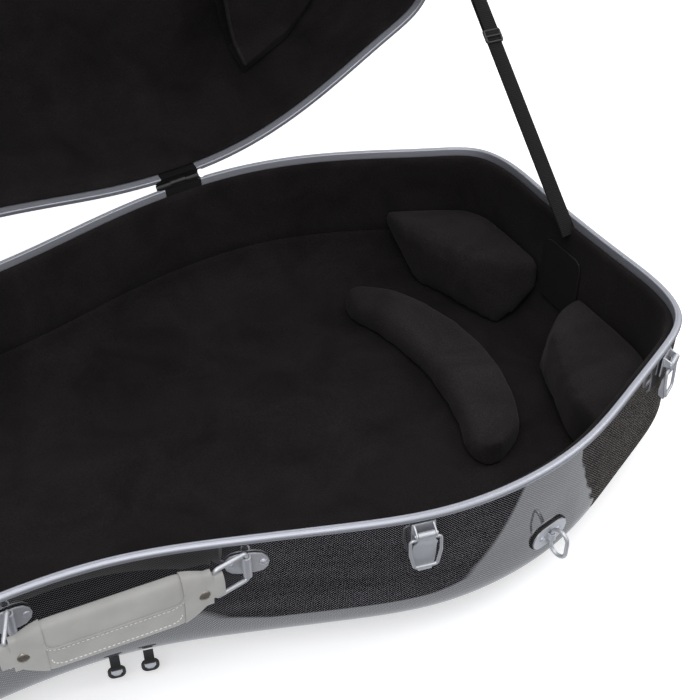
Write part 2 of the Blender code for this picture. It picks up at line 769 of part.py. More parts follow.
def latch_lever(name, paint):
    """Rolled round its pin between the ears, then a plate that widens, runs to the wall and flares.

    Its origin is the pin; two cheeks under the roll carry the bail.
    """
    py, pz = LEVER_PIVOT
    by, bz = BAIL_PIVOT
    inner = EAR_SPAN / 2 - SHEET / 2 - GAP
    half = LEVER_WIDTH / 2
    roll = round_bar(name, py, pz, ROLL_RADIUS, -inner, inner, paint)
    seat = GAP + SHEET + GAP + SHEET / 2
    run = [
        (py + 1.7 * MM, pz, inner), (py + 1.5 * MM, pz - 4 * MM, inner),
        (py - 1.0 * MM, pz - 9.5 * MM, half), (seat + 1.6 * MM, pz - 15 * MM, half),
        (seat + 0.8 * MM, -20 * MM, half), (seat + 1.2 * MM, -26 * MM, 0.9 * half),
        (seat + 4 * MM, -LEVER_BELOW, 0.55 * half),
    ]
    rings = []
    for y, z, wide in run:
        front, back = y + SHEET / 2, y - SHEET / 2
        rings.append([(-wide, front, z), (wide, front, z), (wide, back, z), (-wide, back, z)])
    eye = BAIL_RADIUS + 1.1 * MM
    turn = [2 * pi * k / 10 for k in range(10)]
    cheek = hull([(by + eye * cos(a), bz + eye * sin(a)) for a in turn]
                 + [(py, pz), (py + 1.6 * MM, pz - 3.5 * MM)])
    others = [solid_of_rings("plate", rings, paint)]
    others += [side_prism("cheek", cheek, *sorted((side * (inner - SHEET), side * inner)), paint)
               for side in (-1, 1)]
    combine(roll, others, "UNION")
    bores = [round_bar("bore", py, pz, RIVET_RADIUS + GAP, -inner - MM, inner + MM, paint)]
    bores.append(round_bar("bore", by, bz, BAIL_RADIUS + GAP, -inner - MM, inner + MM, paint))
    lever = combine(roll, bores, "DIFFERENCE")
    lever.data.transform(Matrix.Translation((0, -py, -pz)))
    return lever


def latch_bail(name, paint):
    """Wire bail whose ends turn in through the lever's cheeks; its legs draw together to the bar."""
    end = EAR_SPAN / 2 - SHEET / 2 - GAP - SHEET - 0.6 * MM
    wide = BAIL_TOP_WIDTH / 2 - BAIL_RADIUS
    narrow = BAIL_BOTTOM_WIDTH / 2
    half = [(end, 0, 0), (wide, 0, 0), (wide, 0, -0.5 * BAIL_LENGTH), (narrow, 0, -BAIL_LENGTH)]
    path = half + [(-x, y, z) for x, y, z in half[::-1]]
    return wire(name, rounded_path(path, 2.2 * MM, 2), BAIL_RADIUS, paint)


def latch_keeper(name, paint):
    """Hook plate riveted to the lid just above its rim, with a lip that the bail's bar drops behind."""
    bar_out = BAIL_PIVOT[0] + 2 * DRAFT * BAIL_RISE
    bar = BAIL_RISE - KEEPER_DROP
    low = bar - BAIL_RADIUS - GAP - SHEET
    out = bar_out + BAIL_RADIUS + 2 * GAP
    high = low + KEEPER_HEIGHT
    profile = [
        (GAP, low), (out + SHEET, low), (out + SHEET, bar + 1.4 * MM), (out, bar + 1.4 * MM),
        (out, low + SHEET), (GAP + SHEET, low + SHEET), (GAP + SHEET, high), (GAP, high),
    ]
    return side_prism(name, profile, -KEEPER_WIDTH / 2, KEEPER_WIDTH / 2, paint)


SADDLE_SEAT = GAP + SHEET + GAP


def capsule(length, height, steps=6):
    """Outline with round ends, in x, z."""
    r = height / 2
    ends = []
    for side, first in ((1, -pi / 2), (-1, pi / 2)):
        for k in range(steps + 1):
            a = first + pi * k / steps
            ends.append((side * (length / 2 - r) + r * cos(a), r * sin(a)))
    return ends


def saddle_plate(name, length, height, wire_radius, bridge, paint):
    """Plate with round ends, two rivet heads and a half-round bridge over the wire it holds."""
    outline = capsule(length, height)
    rings = [[(x, y, z) for x, z in outline] for y in (GAP, GAP + SHEET)]
    plate = solid_of_rings(name, rings, paint)
    centre = SADDLE_SEAT + wire_radius
    inner, outer = wire_radius + GAP, wire_radius + GAP + SHEET
    arch = []
    for radius, angles in ((outer, np.linspace(0, pi, 9)), (inner, np.linspace(pi, 0, 9))):
        arch += [(radius * cos(a), centre + radius * sin(a)) for a in angles]
    foot = GAP + 0.6 * SHEET
    arch = arch[:9] + [(-outer, foot), (-inner, foot)] + arch[9:] + [(inner, foot), (outer, foot)]
    others = [prism("bridge", arch, -bridge / 2, bridge / 2, paint)]
    rivet_at = length / 2 - height / 2
    if rivet_at < outer + 2.5 * MM:
        rivet_at = length / 2 - 4 * MM
    for side in (-1, 1):
        rings = []
        for radius, y in ((2.8 * MM, GAP + 0.6 * SHEET), (2.8 * MM, GAP + SHEET + 0.5 * MM),
                          (1.6 * MM, GAP + SHEET + 1.2 * MM)):
            turn = [2 * pi * k / 10 for k in range(10)]
            rings.append([(side * rivet_at + radius * cos(a), y, radius * sin(a)) for a in turn])
        others.append(solid_of_rings("rivet", rings, paint))
    return combine(plate, others, "UNION")


def handle_loop(name, paint):
    """Closed rounded rectangle of wire: its near side turns in the bridge, its far side in the leather."""
    high = LOOP_HEIGHT / 2 - LOOP_RADIUS
    corners = [(0, 0, -high), (LOOP_LENGTH, 0, -high), (LOOP_LENGTH, 0, high), (0, 0, high)]
    return wire(name, rounded_path(corners, LOOP_BEND, 3, closed=True), LOOP_RADIUS, paint, True)


def grip_section(s, length):
    """Middle height, half height, half thickness and mid thickness place of the grip, s along it."""
    end = min(s + GRIP_END, length + GRIP_END - s)
    body = np.clip((end - GRIP_TAB_LENGTH) / GRIP_SWELL, 0, 1)
    tab_half = LOOP_HEIGHT / 2 - 2 * LOOP_RADIUS - 3 * GAP
    swell = sin(pi / 2 * body)
    if end < GRIP_TAB_LENGTH + GAP:
        return 0.0, tab_half, GRIP_TAB_THICKNESS / 2, 0.0
    half = GRIP_END_HEIGHT / 2 + (GRIP_HEIGHT - GRIP_END_HEIGHT) / 2 * swell
    thick = GRIP_TAB_THICKNESS / 2 + (GRIP_THICKNESS - GRIP_TAB_THICKNESS) / 2 * swell
    return -1.5 * MM - 0.5 * MM * swell, half, thick, 1.5 * MM * swell


def rivet_seat(s, length):
    """Centre of the flat that a rivet presses into the grip's outer face."""
    middle, _, thick, shift = grip_section(s, length)
    return s, shift + 0.68 * thick, middle


def handle_grip(length, paint):
    """Stuffed leather grip: a roll along the top that thins to a skirt, ending in pockets for the loops.

    x runs from the pivot of one loop to the pivot of the other, y points away from the case.
    """
    tab_end = GRIP_TAB_LENGTH - GRIP_END
    shoulder = tab_end + 1.5 * MM
    near = [-GRIP_END, -GRIP_END + 1.5 * MM, tab_end, shoulder, shoulder + 0.3 * GRIP_SWELL,
            shoulder + GRIP_SWELL]
    stations = near + [length / 2] + [length - s for s in near[::-1]]
    rings = []
    for k, s in enumerate(stations):
        middle, half, thick, shift = grip_section(s, length)
        if k in (0, len(stations) - 1):
            half, thick = half - 1.5 * MM, thick - 1.5 * MM
        ring = []
        for a in np.linspace(0, 2 * pi, GRIP_SIDES, endpoint=False):
            taper = 1 if min(s, length - s) < tab_end + GAP else 0.68 + 0.32 * sin(a)
            side = np.sign(cos(a)) * abs(cos(a)) ** 0.7
            rise = np.sign(sin(a)) * abs(sin(a)) ** 0.8
            ring.append((s, shift + thick * taper * side, middle + half * rise))
        rings.append(ring)
    grip = solid_of_rings("handle_grip", rings, paint, sharp=50)
    tall = GRIP_HEIGHT
    turn = [2 * pi * k / 12 for k in range(12)]
    snug = LOOP_RADIUS + GAP
    hole = prism("hole", [(snug * cos(a), snug * sin(a)) for a in turn], -tall, tall, paint)
    slack = [(length + GRIP_SLACK_ALONG * np.sign(round(cos(a), 6)) + snug * cos(a),
              GRIP_SLACK_ACROSS * np.sign(round(sin(a), 6)) + snug * sin(a)) for a in turn]
    slot = prism("slot", slack, -tall, tall, paint)
    cutters = [hole, slot]
    for s in (GRIP_RIVET_PLACE, length - GRIP_RIVET_PLACE):
        x, face, z = rivet_seat(s, length)
        reach = GRIP_RIVET_RADIUS + GAP
        rings = [[(x + reach * cos(a), y, z + reach * sin(a)) for a in turn] for y in (face, face + tall)]
        cutters.append(solid_of_rings("seat", rings, paint))
    return combine(grip, cutters, "DIFFERENCE")


def dome(name, centre, normal, radius, height, paint, sides=10):
    """Flat-bottomed round head, its foot at the centre and its crown along the normal."""
    normal = Vector(normal).normalized()
    side = normal.orthogonal().normalized()
    other = normal.cross(side)
    rings = []
    for r, h in ((radius, 0), (0.9 * radius, 0.45 * height), (0.5 * radius, height)):
        rings.append([Vector(centre) + normal * h + (side * cos(a) + other * sin(a)) * r
                      for a in np.linspace(0, 2 * pi, sides, endpoint=False)])
    return solid_of_rings(name, rings, paint)


def oval_ring(name, paint):
    """Oval wire ring: its straight back runs through the saddle, the rest hangs down and stands out."""
    bend = OVAL_RING_WIDTH / 2 - OVAL_RING_RADIUS
    tall = OVAL_RING_HEIGHT - 2 * OVAL_RING_RADIUS
    top = 3 * MM + bend
    corners = [(0, 0, top), (0, 0, top - tall), (0, 2 * bend, top - tall), (0, 2 * bend, top)]
    path = rounded_path(corners, 0.999 * bend, 5, closed=True)
    return wire(name, path, OVAL_RING_RADIUS, paint, True)


def loop_tab(name, paint):
    """Short webbing tab: it leaves the wall, hangs down and ends in a hem round the small ring."""
    hem, thick = TAB_RING_RADIUS + GAP + 1.0 * MM, TAB_THICKNESS / 2
    hem_at = -TAB_LENGTH
    turn = [hem * cos(a) for a in np.linspace(0, 2 * pi, 12, endpoint=False)]
    rise = [hem * sin(a) for a in np.linspace(0, 2 * pi, 12, endpoint=False)]
    circle = [(y, hem_at + z) for y, z in zip(turn, rise)]
    half = TAB_WIDTH / 2
    tab = side_prism(name, hull([*circle, (-thick, hem_at + hem), (thick, hem_at + hem)]), -half, half, paint)
    side = [(-thick, hem_at), (thick, hem_at), (thick, 2.6 * MM), (-thick, -0.4 * MM)]
    strip = side_prism("strip", side, -half, half, paint)
    combine(tab, [strip], "UNION")
    bore = round_bar("bore", 0, hem_at, TAB_RING_RADIUS + GAP, -half - MM, half + MM, paint, 10)
    return combine(tab, [bore], "DIFFERENCE")


def tab_ring(name, paint):
    half = TAB_WIDTH / 2 + TAB_RING_RADIUS + 2 * GAP
    corners = [(-half, 0, 0), (half, 0, 0), (half, 0, -TAB_RING_DROP), (-half, 0, -TAB_RING_DROP)]
    return wire(name, rounded_path(corners, 1.6 * MM, 2, closed=True), TAB_RING_RADIUS, paint, True)


def cushion(name, outline, low, high, soft, paint):
    """A stuffed pad on an anticlockwise plan outline: drawn-in foot, full side and a crowned top."""
    plan = np.array(outline)
    inward = mitres(plan)
    tall = high - low
    levels = ((0.4 * soft, low), (0, low + 0.3 * tall), (0.15 * soft, low + 0.6 * tall),
              (soft, high - 0.12 * tall), (2.2 * soft, high))
    rings = [np.c_[plan + inward * inset, np.full(len(plan), z)] for inset, z in levels]
    return solid_of_rings(name, rings, paint, sharp=60)


def crescent():
    """Plan of the floor pad under the body's lower end: two arcs, the tail one rounder."""
    spread = np.linspace(-1, 1, 9) * CRESCENT_HALF_LENGTH
    tail = [(CRESCENT_BACK - CRESCENT_TAIL_RADIUS + np.sqrt(CRESCENT_TAIL_RADIUS ** 2 - y * y), y)
            for y in spread]
    front = CRESCENT_BACK - CRESCENT_WIDTH - CRESCENT_NECK_RADIUS
    neck = [(front + np.sqrt(CRESCENT_NECK_RADIUS ** 2 - y * y), y) for y in spread[::-1]]
    return [(x, y + TAIL_CENTRE_Y) for x, y in tail + neck]


def side_ring(ring, side):
    """The ring renumbered to run from the tail centre up one side to the neck end."""
    if side > 0:
        return ring[:RING_POINTS // 2 + 1]
    return np.roll(ring[::-1], 1, axis=0)[:RING_POINTS // 2 + 1]


def inner_wall(section, drop, side, marks):
    """Points on the lining's face at a drop, at fractional places along one side of the ring."""
    inset = section.faceted_inset(section.lining_offset(), drop, LINING_ROWS) + 2 * GAP
    ring = side_ring(inset_ring(inset), side)
    places = np.arange(len(ring))
    return np.c_[np.interp(marks, places, ring[:, 0]), np.interp(marks, places, ring[:, 1])]


def wall_pad(name, side, first, last, front, top_drop, paint):
    """Firm pad that fills the corner between wall and floor: its back follows the lining's face.

    first is where it starts along the wall, as y from the tail centre or as x, and last where it ends,
    as x at the top and at the floor. front lists its free edge in mm, at the top and at the floor.
    """
    plain = side_ring(RING, side)
    places = np.arange(len(plain))
    if first > 0:
        start = np.interp(first, side * (plain[:6, 1] - TAIL_CENTRE_Y), places[:6])
    else:
        start = np.interp(-first, -plain[:, 0], places)
    floor = float(BASE.depth_at(last[0])) - LINING_SEAT - LINING_THICKNESS - 3 * GAP
    rings = []
    for share, inset in ((0, 3 * MM), (0.12, 0.5 * MM), (0.5, 0), (1, 3 * MM)):
        drop = top_drop + (floor - top_drop) * share
        stop = (1 - share) * last[0] + share * last[1]
        marks = np.linspace(start, np.interp(-stop, -plain[:, 0], places), WALL_PAD_STEPS)
        back = inner_wall(BASE, drop, side, marks)
        edge = [((1 - share) * xt * MM + share * xf * MM, side * ((1 - share) * yt + share * yf) * MM)
                for (xt, yt), (xf, yf) in front]
        shift = TAIL_CENTRE_Y if first > 0 else 0
        plan = np.array([*back, *[(x, y + shift) for x, y in edge]])
        if side < 0:
            plan = plan[::-1]
        plan = plan + mitres(plan) * inset
        rings.append(np.c_[plan, np.full(len(plan), -drop)])
    return solid_of_rings(name, rings, paint, sharp=50)


def neck_cradle(paint):
    """Block across the neck end with a round trough for the neck."""
    ends = (CRADLE_X - CRADLE_LENGTH / 2, CRADLE_X + CRADLE_LENGTH / 2)
    floor = float(BASE.depth_at(ends[0])) - LINING_SEAT - LINING_THICKNESS - 2 * GAP
    profile = []
    for drop in (CRADLE_TOP_DROP, 0.7 * floor, floor):
        wide = min(np.interp(-x, -points[:, 0], np.abs(points[:, 1]))
                   for x in ends
                   for points in [inner_wall(BASE, drop, 1, np.arange(RING_POINTS // 2 + 1))])
        profile.append((wide if drop < floor else wide - 5 * MM, -drop))
    trough = [(CRADLE_TROUGH * cos(a), -CRADLE_TOP_DROP + CRADLE_TROUGH * sin(a))
              for a in np.linspace(0, -pi, 9)]
    polygon = [(-y, z) for y, z in profile] + profile[::-1] + trough
    return side_prism("neck_cradle", polygon, *ends, paint)


def tail_face(section, drop):
    """x of the lining's face behind the tail wall, clear of the wall's turn beside the middle."""
    marks = np.array([0, 0.8])
    return min(inner_wall(section, drop, side, marks)[:, 0].min() for side in (-1, 1))


def end_patch(paint):
    """Leather patch on the tail wall's lining where the end pin would rub."""
    r = 8 * MM
    half_w, half_h = PATCH_WIDTH / 2, PATCH_HEIGHT / 2
    corners = []
    for sy, sz, first in ((1, 1, 0), (-1, 1, pi / 2), (-1, -1, pi), (1, -1, 1.5 * pi)):
        for a in (first, first + pi / 4, first + pi / 2):
            corners.append((sy * (half_w - r) + r * cos(a), sz * (half_h - r) + r * sin(a)))
    rings = []
    for depth in (0, PATCH_THICKNESS):
        ring = []
        for y, z in corners:
            drop = PATCH_DROP + half_h - z
            ring.append((tail_face(BASE, drop) - depth, y + TAIL_CENTRE_Y, -drop))
        rings.append(ring)
    return solid_of_rings("endpin_patch", rings, paint)


def ceiling_drop(x, y):
    """Height of the crowned lid lining's face over a place in plan."""
    face = LID.depth - LID.lining_offset()
    places = np.arange(RING_POINTS // 2 + 1)
    walls = [inner_wall(LID, face, side, places) for side in (1, -1)]
    high, low = [np.interp(-x, -wall[:, 0], wall[:, 1]) for wall in walls]
    across = np.interp((high - y) / (high - low), [0, 0.25, 0.5], [0, 0.75, 1])
    rise = LID_CROWN * crown_share(x, high - low, walls[0][0, 0], walls[0][-1, 0]) * across
    return face + rise - 5 * GAP


def pocket_skin(name, wall, paint):
    """One skin of the pouch: its back follows the lid lining from the side wall to the ceiling."""
    places = np.arange(RING_POINTS // 2 + 1)
    drops = np.linspace(POCKET_OUTER_DROP, LID.depth - LID.lining_offset() - 5 * GAP, 5)
    ends = np.linspace(*POCKET_END, 7)
    rings = []
    for share, reach, thick in ((0, 1, 1), (0.45, 0.97, 1), (0.8, 0.8, 0.8), (1, 0.5, 0.4)):
        xs = POCKET_MOUTH + (ends - POCKET_MOUTH) * share
        back = []
        for x, drop in zip(xs, drops):
            face = inner_wall(LID, drop, 1, places)
            back.append((x, np.interp(-x, -face[:, 0], face[:, 1]), drop))
        for x, y in zip(xs[5:], (0.6 * back[-1][1] + 0.4 * POCKET_INNER_Y, POCKET_INNER_Y)):
            back.append((x, y, ceiling_drop(x, y)))
        back = np.array(back)
        length = np.concatenate([[0], np.cumsum(np.linalg.norm(np.diff(back, axis=0), axis=1))])
        marks = length[-1] * (0.5 + reach * np.linspace(-0.5, 0.5, 7))
        back = np.array([np.interp(marks, length, line) for line in back.T]).T
        along = unit(np.gradient(back[:, 1:], axis=0))
        inward = np.c_[np.zeros(7), -along[:, 1], along[:, 0]]
        depth = POCKET_DEPTH * thick * np.sin(np.linspace(0.12, 0.88, 7) * pi) ** 0.6
        front = back + inward * (depth - wall)[:, None]
        back = back + inward * wall
        if wall:
            back, front = back[1:-1], front[1:-1]
        ring = np.array([*back, *front[::-1]])
        if wall and share in (0, 1):
            ring[:, 0] -= POCKET_DEPTH / 2 if share == 0 else wall
        rings.append(ring)
    return solid_of_rings(name, rings, paint, sharp=50)


def accessory_pocket(paint):
    """Pouch sewn into the lid's corner by the tail, open to the neck end."""
    pouch = pocket_skin("accessory_pocket", 0, paint)
    return combine(pouch, [pocket_skin("inside", POCKET_WALL, paint)], "DIFFERENCE")


def strap_turn(share):
    """Angle in degrees between the webbing's width and the case's length, along the strap."""
    return float(np.interp(share, [0, 0.10, 0.22, 0.50, 0.80, 0.92, 1], [90, 58, 28, 26, 30, 58, 90]))


def strap_frame(start, end, share):
    """Place, width direction and run of the strap at a share of its length."""
    line = (end - start).normalized()
    across = (Vector((1, 0, 0)) - line * line.x).normalized()
    lean = line.cross(across)
    turn = radians(strap_turn(share))
    return start.lerp(end, share), across * cos(turn) + lean * sin(turn), line


def stay_strap(start, end, paint):
    """Webbing from the tail wall to the lid: sewn flat at both ends, a part turn between them."""
    stations = [(start + Vector((0, 0, -STRAP_SEWN)), Vector((0, 1, 0)), Vector((0, 0, 1)))]
    stations.append((start, Vector((0, 1, 0)), Vector((0, 0, 1))))
    stations += [strap_frame(start, end, share) for share in (0.05, 0.10, 0.22, 0.50, 0.80, 0.92, 1)]
    rings = []
    for spot, wide, run in stations:
        face = wide.cross(run).normalized() * STRAP_THICKNESS / 2
        wide = wide * STRAP_WIDTH / 2
        rings.append([spot - wide - face, spot + wide - face, spot + wide + face, spot - wide + face])
    strap = solid_of_rings("stay_strap", rings, paint)
    return combine(strap, [strap_slide(start, end, paint)], "UNION")


def strap_slide(start, end, paint):
    """Rectangular slide pulled tight on the webbing, half way along it."""
    spot, wide, run = strap_frame(start, end, SLIDE_PLACE)
    face = wide.cross(run).normalized()
    frame = Matrix((wide, run, face)).transposed().to_4x4()
    frame.translation = spot
    x, z = STRAP_WIDTH / 2 + SLIDE_BAR, STRAP_THICKNESS / 2 + 0.6 * SLIDE_BAR
    half = SLIDE_LENGTH / 2
    rings = [[(-x, y, -z), (x, y, -z), (x, y, z), (-x, y, z)] for y in (-half, half)]
    slide = solid_of_rings("slide", rings, paint)
    slide.data.transform(frame)
    return slide


def back_drop(x, y):
    """Depth of the base's crowned back at a place in plan."""
    inset, _ = BASE.levels(0, RIM_WALL + GAP, ARC_ROWS)[-1]
    walls = [side_ring(inset_ring(inset), side) for side in (1, -1)]
    high, low = [np.interp(-x, -wall[:, 0], wall[:, 1]) for wall in walls]
    across = np.interp(min(high - y, y - low) / (high - low), [0, 0.25, 0.5], [0, 0.75, 1])
    share = crown_share(x, high - low, walls[0][0, 0], walls[0][-1, 0])
    return float(BASE.depth_at(x)) + BASE_CROWN * share * across


def rubber_feet(paint):
    """Four round feet screwed under the back, all standing on the same level."""
    ground = -(BASE_DEPTH + BASE_CROWN) - FOOT_HEIGHT
    spots = [(x, side * y) for x, y in FOOT_PLACES for side in (-1, 1)]
    for number, (x, y) in enumerate(spots, 1):
        top = -back_drop(x, y * (1 - FOOT_RADIUS / abs(y))) - GAP
        rings = []
        for radius, z in ((FOOT_RADIUS, top), (FOOT_RADIUS, top - 2 * MM), (0.86 * FOOT_RADIUS, ground)):
            rings.append([(x + radius * cos(a), y + radius * sin(a), z)
                          for a in np.linspace(0, 2 * pi, 20, endpoint=False)])
        solid_of_rings(f"rubber_foot_{number}", rings, paint)


def hinges(lid, plastic, steel):
    """Two hinges, each a base leaf, a lid leaf and a pin through their knuckles."""
    for label, spot in zip(("lower", "upper"), HINGE_SPOTS):
        frame = hinge_frame(spot)
        place(hinge_leaf(f"{label}_hinge_base_leaf", -1, plastic), frame)
        lid_place(hinge_leaf(f"{label}_hinge_lid_leaf", 1, plastic), lid, frame)
        half = HINGE_WIDTH / 2
        place(round_bar(f"{label}_hinge_pin", 0, 0, HINGE_PIN_RADIUS, -half, half, steel), frame)


def latches(lid, steel):
    """Four draw latches on the base, their levers folded down and their bails hanging."""
    for number, x in enumerate(LATCH_PLACES, 1):
        frame = wall_frame(BASE, x, -1, LATCH_DROP, -1, LEVER_WIDTH / 2)
        place(latch_bracket(f"latch_{number}_bracket", steel), frame)
        place(latch_lever(f"latch_{number}_lever", steel), frame @ Matrix.Translation((0, *LEVER_PIVOT)))
        hanging = Matrix.Translation((0, *BAIL_PIVOT)) @ Matrix.Rotation(atan(DRAFT), 4, "X")
        place(latch_bail(f"latch_{number}_bail", steel), frame @ hanging)
        seat = wall_frame(LID, x, -1, KEEPER_DROP, 1, KEEPER_WIDTH / 2)
        lid_place(latch_keeper(f"latch_{number}_keeper", steel), lid, seat)


def handle(leather, steel, nickel):
    """Grip hung on two wire loops, each turning in a saddle plate; the two loops stand at unlike angles."""
    channels, ups = [], []
    for label, x in zip(("right", "left"), HANDLE_PLATE_X):
        frame = wall_frame(BASE, x, -1, HANDLE_DROP, -1, HANDLE_PLATE_LENGTH / 2)
        plate = saddle_plate(f"handle_plate_{label}", HANDLE_PLATE_LENGTH, HANDLE_PLATE_HEIGHT, LOOP_RADIUS,
                             HANDLE_BRIDGE, steel)
        place(plate, frame)
        channels.append(frame @ Vector((0, SADDLE_SEAT + LOOP_RADIUS, 0)))
        ups.append(frame.col[2].to_3d())
    along = (channels[1] - channels[0]).normalized()
    up = ups[0] + ups[1]
    up = (up - along * up.dot(along)).normalized()
    axes = Matrix((along, up.cross(along), up)).transposed().to_4x4()
    ends = []
    for label, channel, angle in zip(("right", "left"), channels, LOOP_REST_ANGLES):
        frame = Matrix.Translation(channel) @ axes @ Matrix.Rotation(angle, 4, "Z")
        place(handle_loop(f"handle_loop_{label}", steel), frame)
        ends.append(frame @ Vector((LOOP_LENGTH, 0, 0)))
    along = ends[1] - ends[0]
    length = along.length
    along.normalize()
    frame = Matrix((along, up.cross(along), up)).transposed().to_4x4()
    frame.translation = ends[0]
    place(handle_grip(length, leather), frame)
    for label, s in (("right", GRIP_RIVET_PLACE), ("left", length - GRIP_RIVET_PLACE)):
        spot = Vector(rivet_seat(s, length)) + Vector((0, GAP, 0))
        place(dome(f"handle_rivet_{label}", spot, (0, 1, 0), GRIP_RIVET_RADIUS, 1.4 * MM, nickel), frame)


def strap_rings(steel, rubber):
    """Two oval rings for the carrying straps, each in a riveted saddle on a rubber gasket."""
    for label, x in zip(("tail", "neck"), OVAL_RING_PLACES):
        frame = wall_frame(BASE, x, -1, OVAL_RING_DROP, -1, OVAL_PLATE_LENGTH / 2)
        outline = capsule(OVAL_PLATE_LENGTH + 2 * MM, OVAL_PLATE_HEIGHT + 2 * MM)
        sheet = [[(a, y, b) for a, b in outline] for y in (GAP, GAP + GASKET_THICKNESS)]
        place(solid_of_rings(f"{label}_ring_gasket", sheet, rubber), frame)
        frame = frame @ Matrix.Translation((0, GAP + GASKET_THICKNESS, 0))
        plate = saddle_plate(f"{label}_ring_plate", OVAL_PLATE_LENGTH, OVAL_PLATE_HEIGHT, OVAL_RING_RADIUS,
                             OVAL_BRIDGE, steel)
        place(plate, frame)
        seat = Matrix.Translation((0, SADDLE_SEAT + OVAL_RING_RADIUS, 0))
        place(oval_ring(f"{label}_oval_ring", steel), frame @ seat)


def tabs(webbing, plastic):
    """Two small webbing tabs with rings under the latch side."""
    for number, x in enumerate(TAB_PLACES, 1):
        wall = wall_frame(BASE, x, -1, TAB_DROP, -1, TAB_WIDTH / 2)
        across = Vector((wall.col[0].x, wall.col[0].y, 0)).normalized()
        up = Vector((0, 0, 1))
        out = up.cross(across)
        frame = Matrix((across, out, up)).transposed().to_4x4()
        frame.translation = wall.translation + out * (TAB_THICKNESS / 2 + GAP)
        place(loop_tab(f"side_tab_{number}", webbing), frame)
        place(tab_ring(f"side_tab_{number}_ring", plastic), frame @ Matrix.Translation((0, 0, -TAB_LENGTH)))


def stand_on_origin():
    """Move everything so that the open case's box stands centred on the origin, on z = 0."""
    bpy.context.view_layer.update()
    graph = bpy.context.evaluated_depsgraph_get()
    points = []
    for item in bpy.context.scene.objects:
        if item.type in ("MESH", "CURVE"):
            shape = item.evaluated_get(graph)
            mesh = shape.to_mesh()
            points += [item.matrix_world @ v.co for v in mesh.vertices]
            shape.to_mesh_clear()
    points = np.array(points)
    low, high = points.min(axis=0), points.max(axis=0)
    shift = Vector((-(low[0] + high[0]) / 2, -(low[1] + high[1]) / 2, -low[2]))
    for item in bpy.context.scene.objects:
        if item.parent is None:
            item.location += shift


def build():
    clear_scene()
    carbon = material("gloss_black_shell", (0.18, 0.17, 0.18), 0.12)
    aluminium = material("satin_aluminium", (0.60, 0.61, 0.64), 0.35, 1.0)
    velour = material("black_velour", (0.11, 0.10, 0.11), 0.95)
    padding = material("black_pad_cloth", (0.15, 0.14, 0.145), 0.95)
    steel = material("satin_steel", (0.62, 0.62, 0.64), 0.28, 1.0)
    nickel = material("dark_nickel", (0.32, 0.31, 0.30), 0.25, 1.0)
    leather = material("grey_leather", (0.67, 0.67, 0.67), 0.6)
    black_leather = material("black_leather", (0.12, 0.12, 0.12), 0.55)
    plastic = material("black_plastic", (0.07, 0.07, 0.075), 0.4)
    webbing = material("black_webbing", (0.10, 0.095, 0.10), 0.85)
    rubber = material("black_rubber", (0.06, 0.06, 0.06), 0.8)

    shell("base_shell", BASE, BASE_CROWN, -1, carbon)
    notch(rim("base_rim", -1, True, aluminium), aluminium)
    wall_lining("base_wall_lining", BASE, -1, velour)
    floor_lining("base_floor_lining", BASE, BASE_CROWN, -1, velour)
    floor = -(BASE_DEPTH - LINING_SEAT - LINING_THICKNESS) + GAP
    cushion("crescent_pad", crescent(), floor, floor + CRESCENT_HEIGHT, CRESCENT_SOFT, padding)
    for label, side in (("hinge_side", 1), ("latch_side", -1)):
        wall_pad(f"tail_block_{label}", side, TAIL_BLOCK_GAP / 2, TAIL_BLOCK_END, TAIL_BLOCK_FRONT,
                 TAIL_BLOCK_TOP_DROP, padding)
        wall_pad(f"shoulder_pad_{label}", side, SHOULDER_PAD_START, SHOULDER_PAD_END, SHOULDER_PAD_FRONT,
                 SHOULDER_PAD_TOP_DROP, padding)
    neck_cradle(padding)
    end_patch(black_leather)
    rubber_feet(rubber)

    lid = bpy.data.objects.new("lid_hinge", None)
    bpy.context.scene.collection.objects.link(lid)
    pivot = Matrix.Translation(HINGE_SPOTS[0])
    lid.matrix_world = pivot @ Matrix.Rotation(-LID_OPEN_ANGLE, 4, AXIS)
    bpy.context.view_layer.update()
    lid_place(shell("lid_shell", LID, LID_CROWN, 1, carbon), lid)
    lid_place(notch(rim("lid_rim", 1, False, aluminium), aluminium), lid)
    lid_place(tray_lining("lid_lining", LID, LID_CROWN, 1, velour), lid)
    lid_place(accessory_pocket(velour), lid)
    hinges(lid, plastic, steel)
    latches(lid, steel)

    handle(leather, steel, nickel)
    strap_rings(steel, rubber)
    tabs(webbing, plastic)
    half_strap = STRAP_THICKNESS / 2
    foot_x = tail_face(BASE, STRAP_SEWN + STRAP_FOOT_DROP) - half_strap
    start = Vector((foot_x, STRAP_FOOT_Y, -STRAP_FOOT_DROP))
    closed = Vector((tail_face(LID, STRAP_LID_DROP) - half_strap - GAP, STRAP_FOOT_Y, STRAP_LID_DROP))
    end = lid.matrix_world @ pivot.inverted() @ closed
    stay_strap(start, end, webbing)
    stand_on_origin()


build()
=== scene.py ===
import json

import bmesh
import bpy
import numpy as np
from mathutils import Matrix, Vector

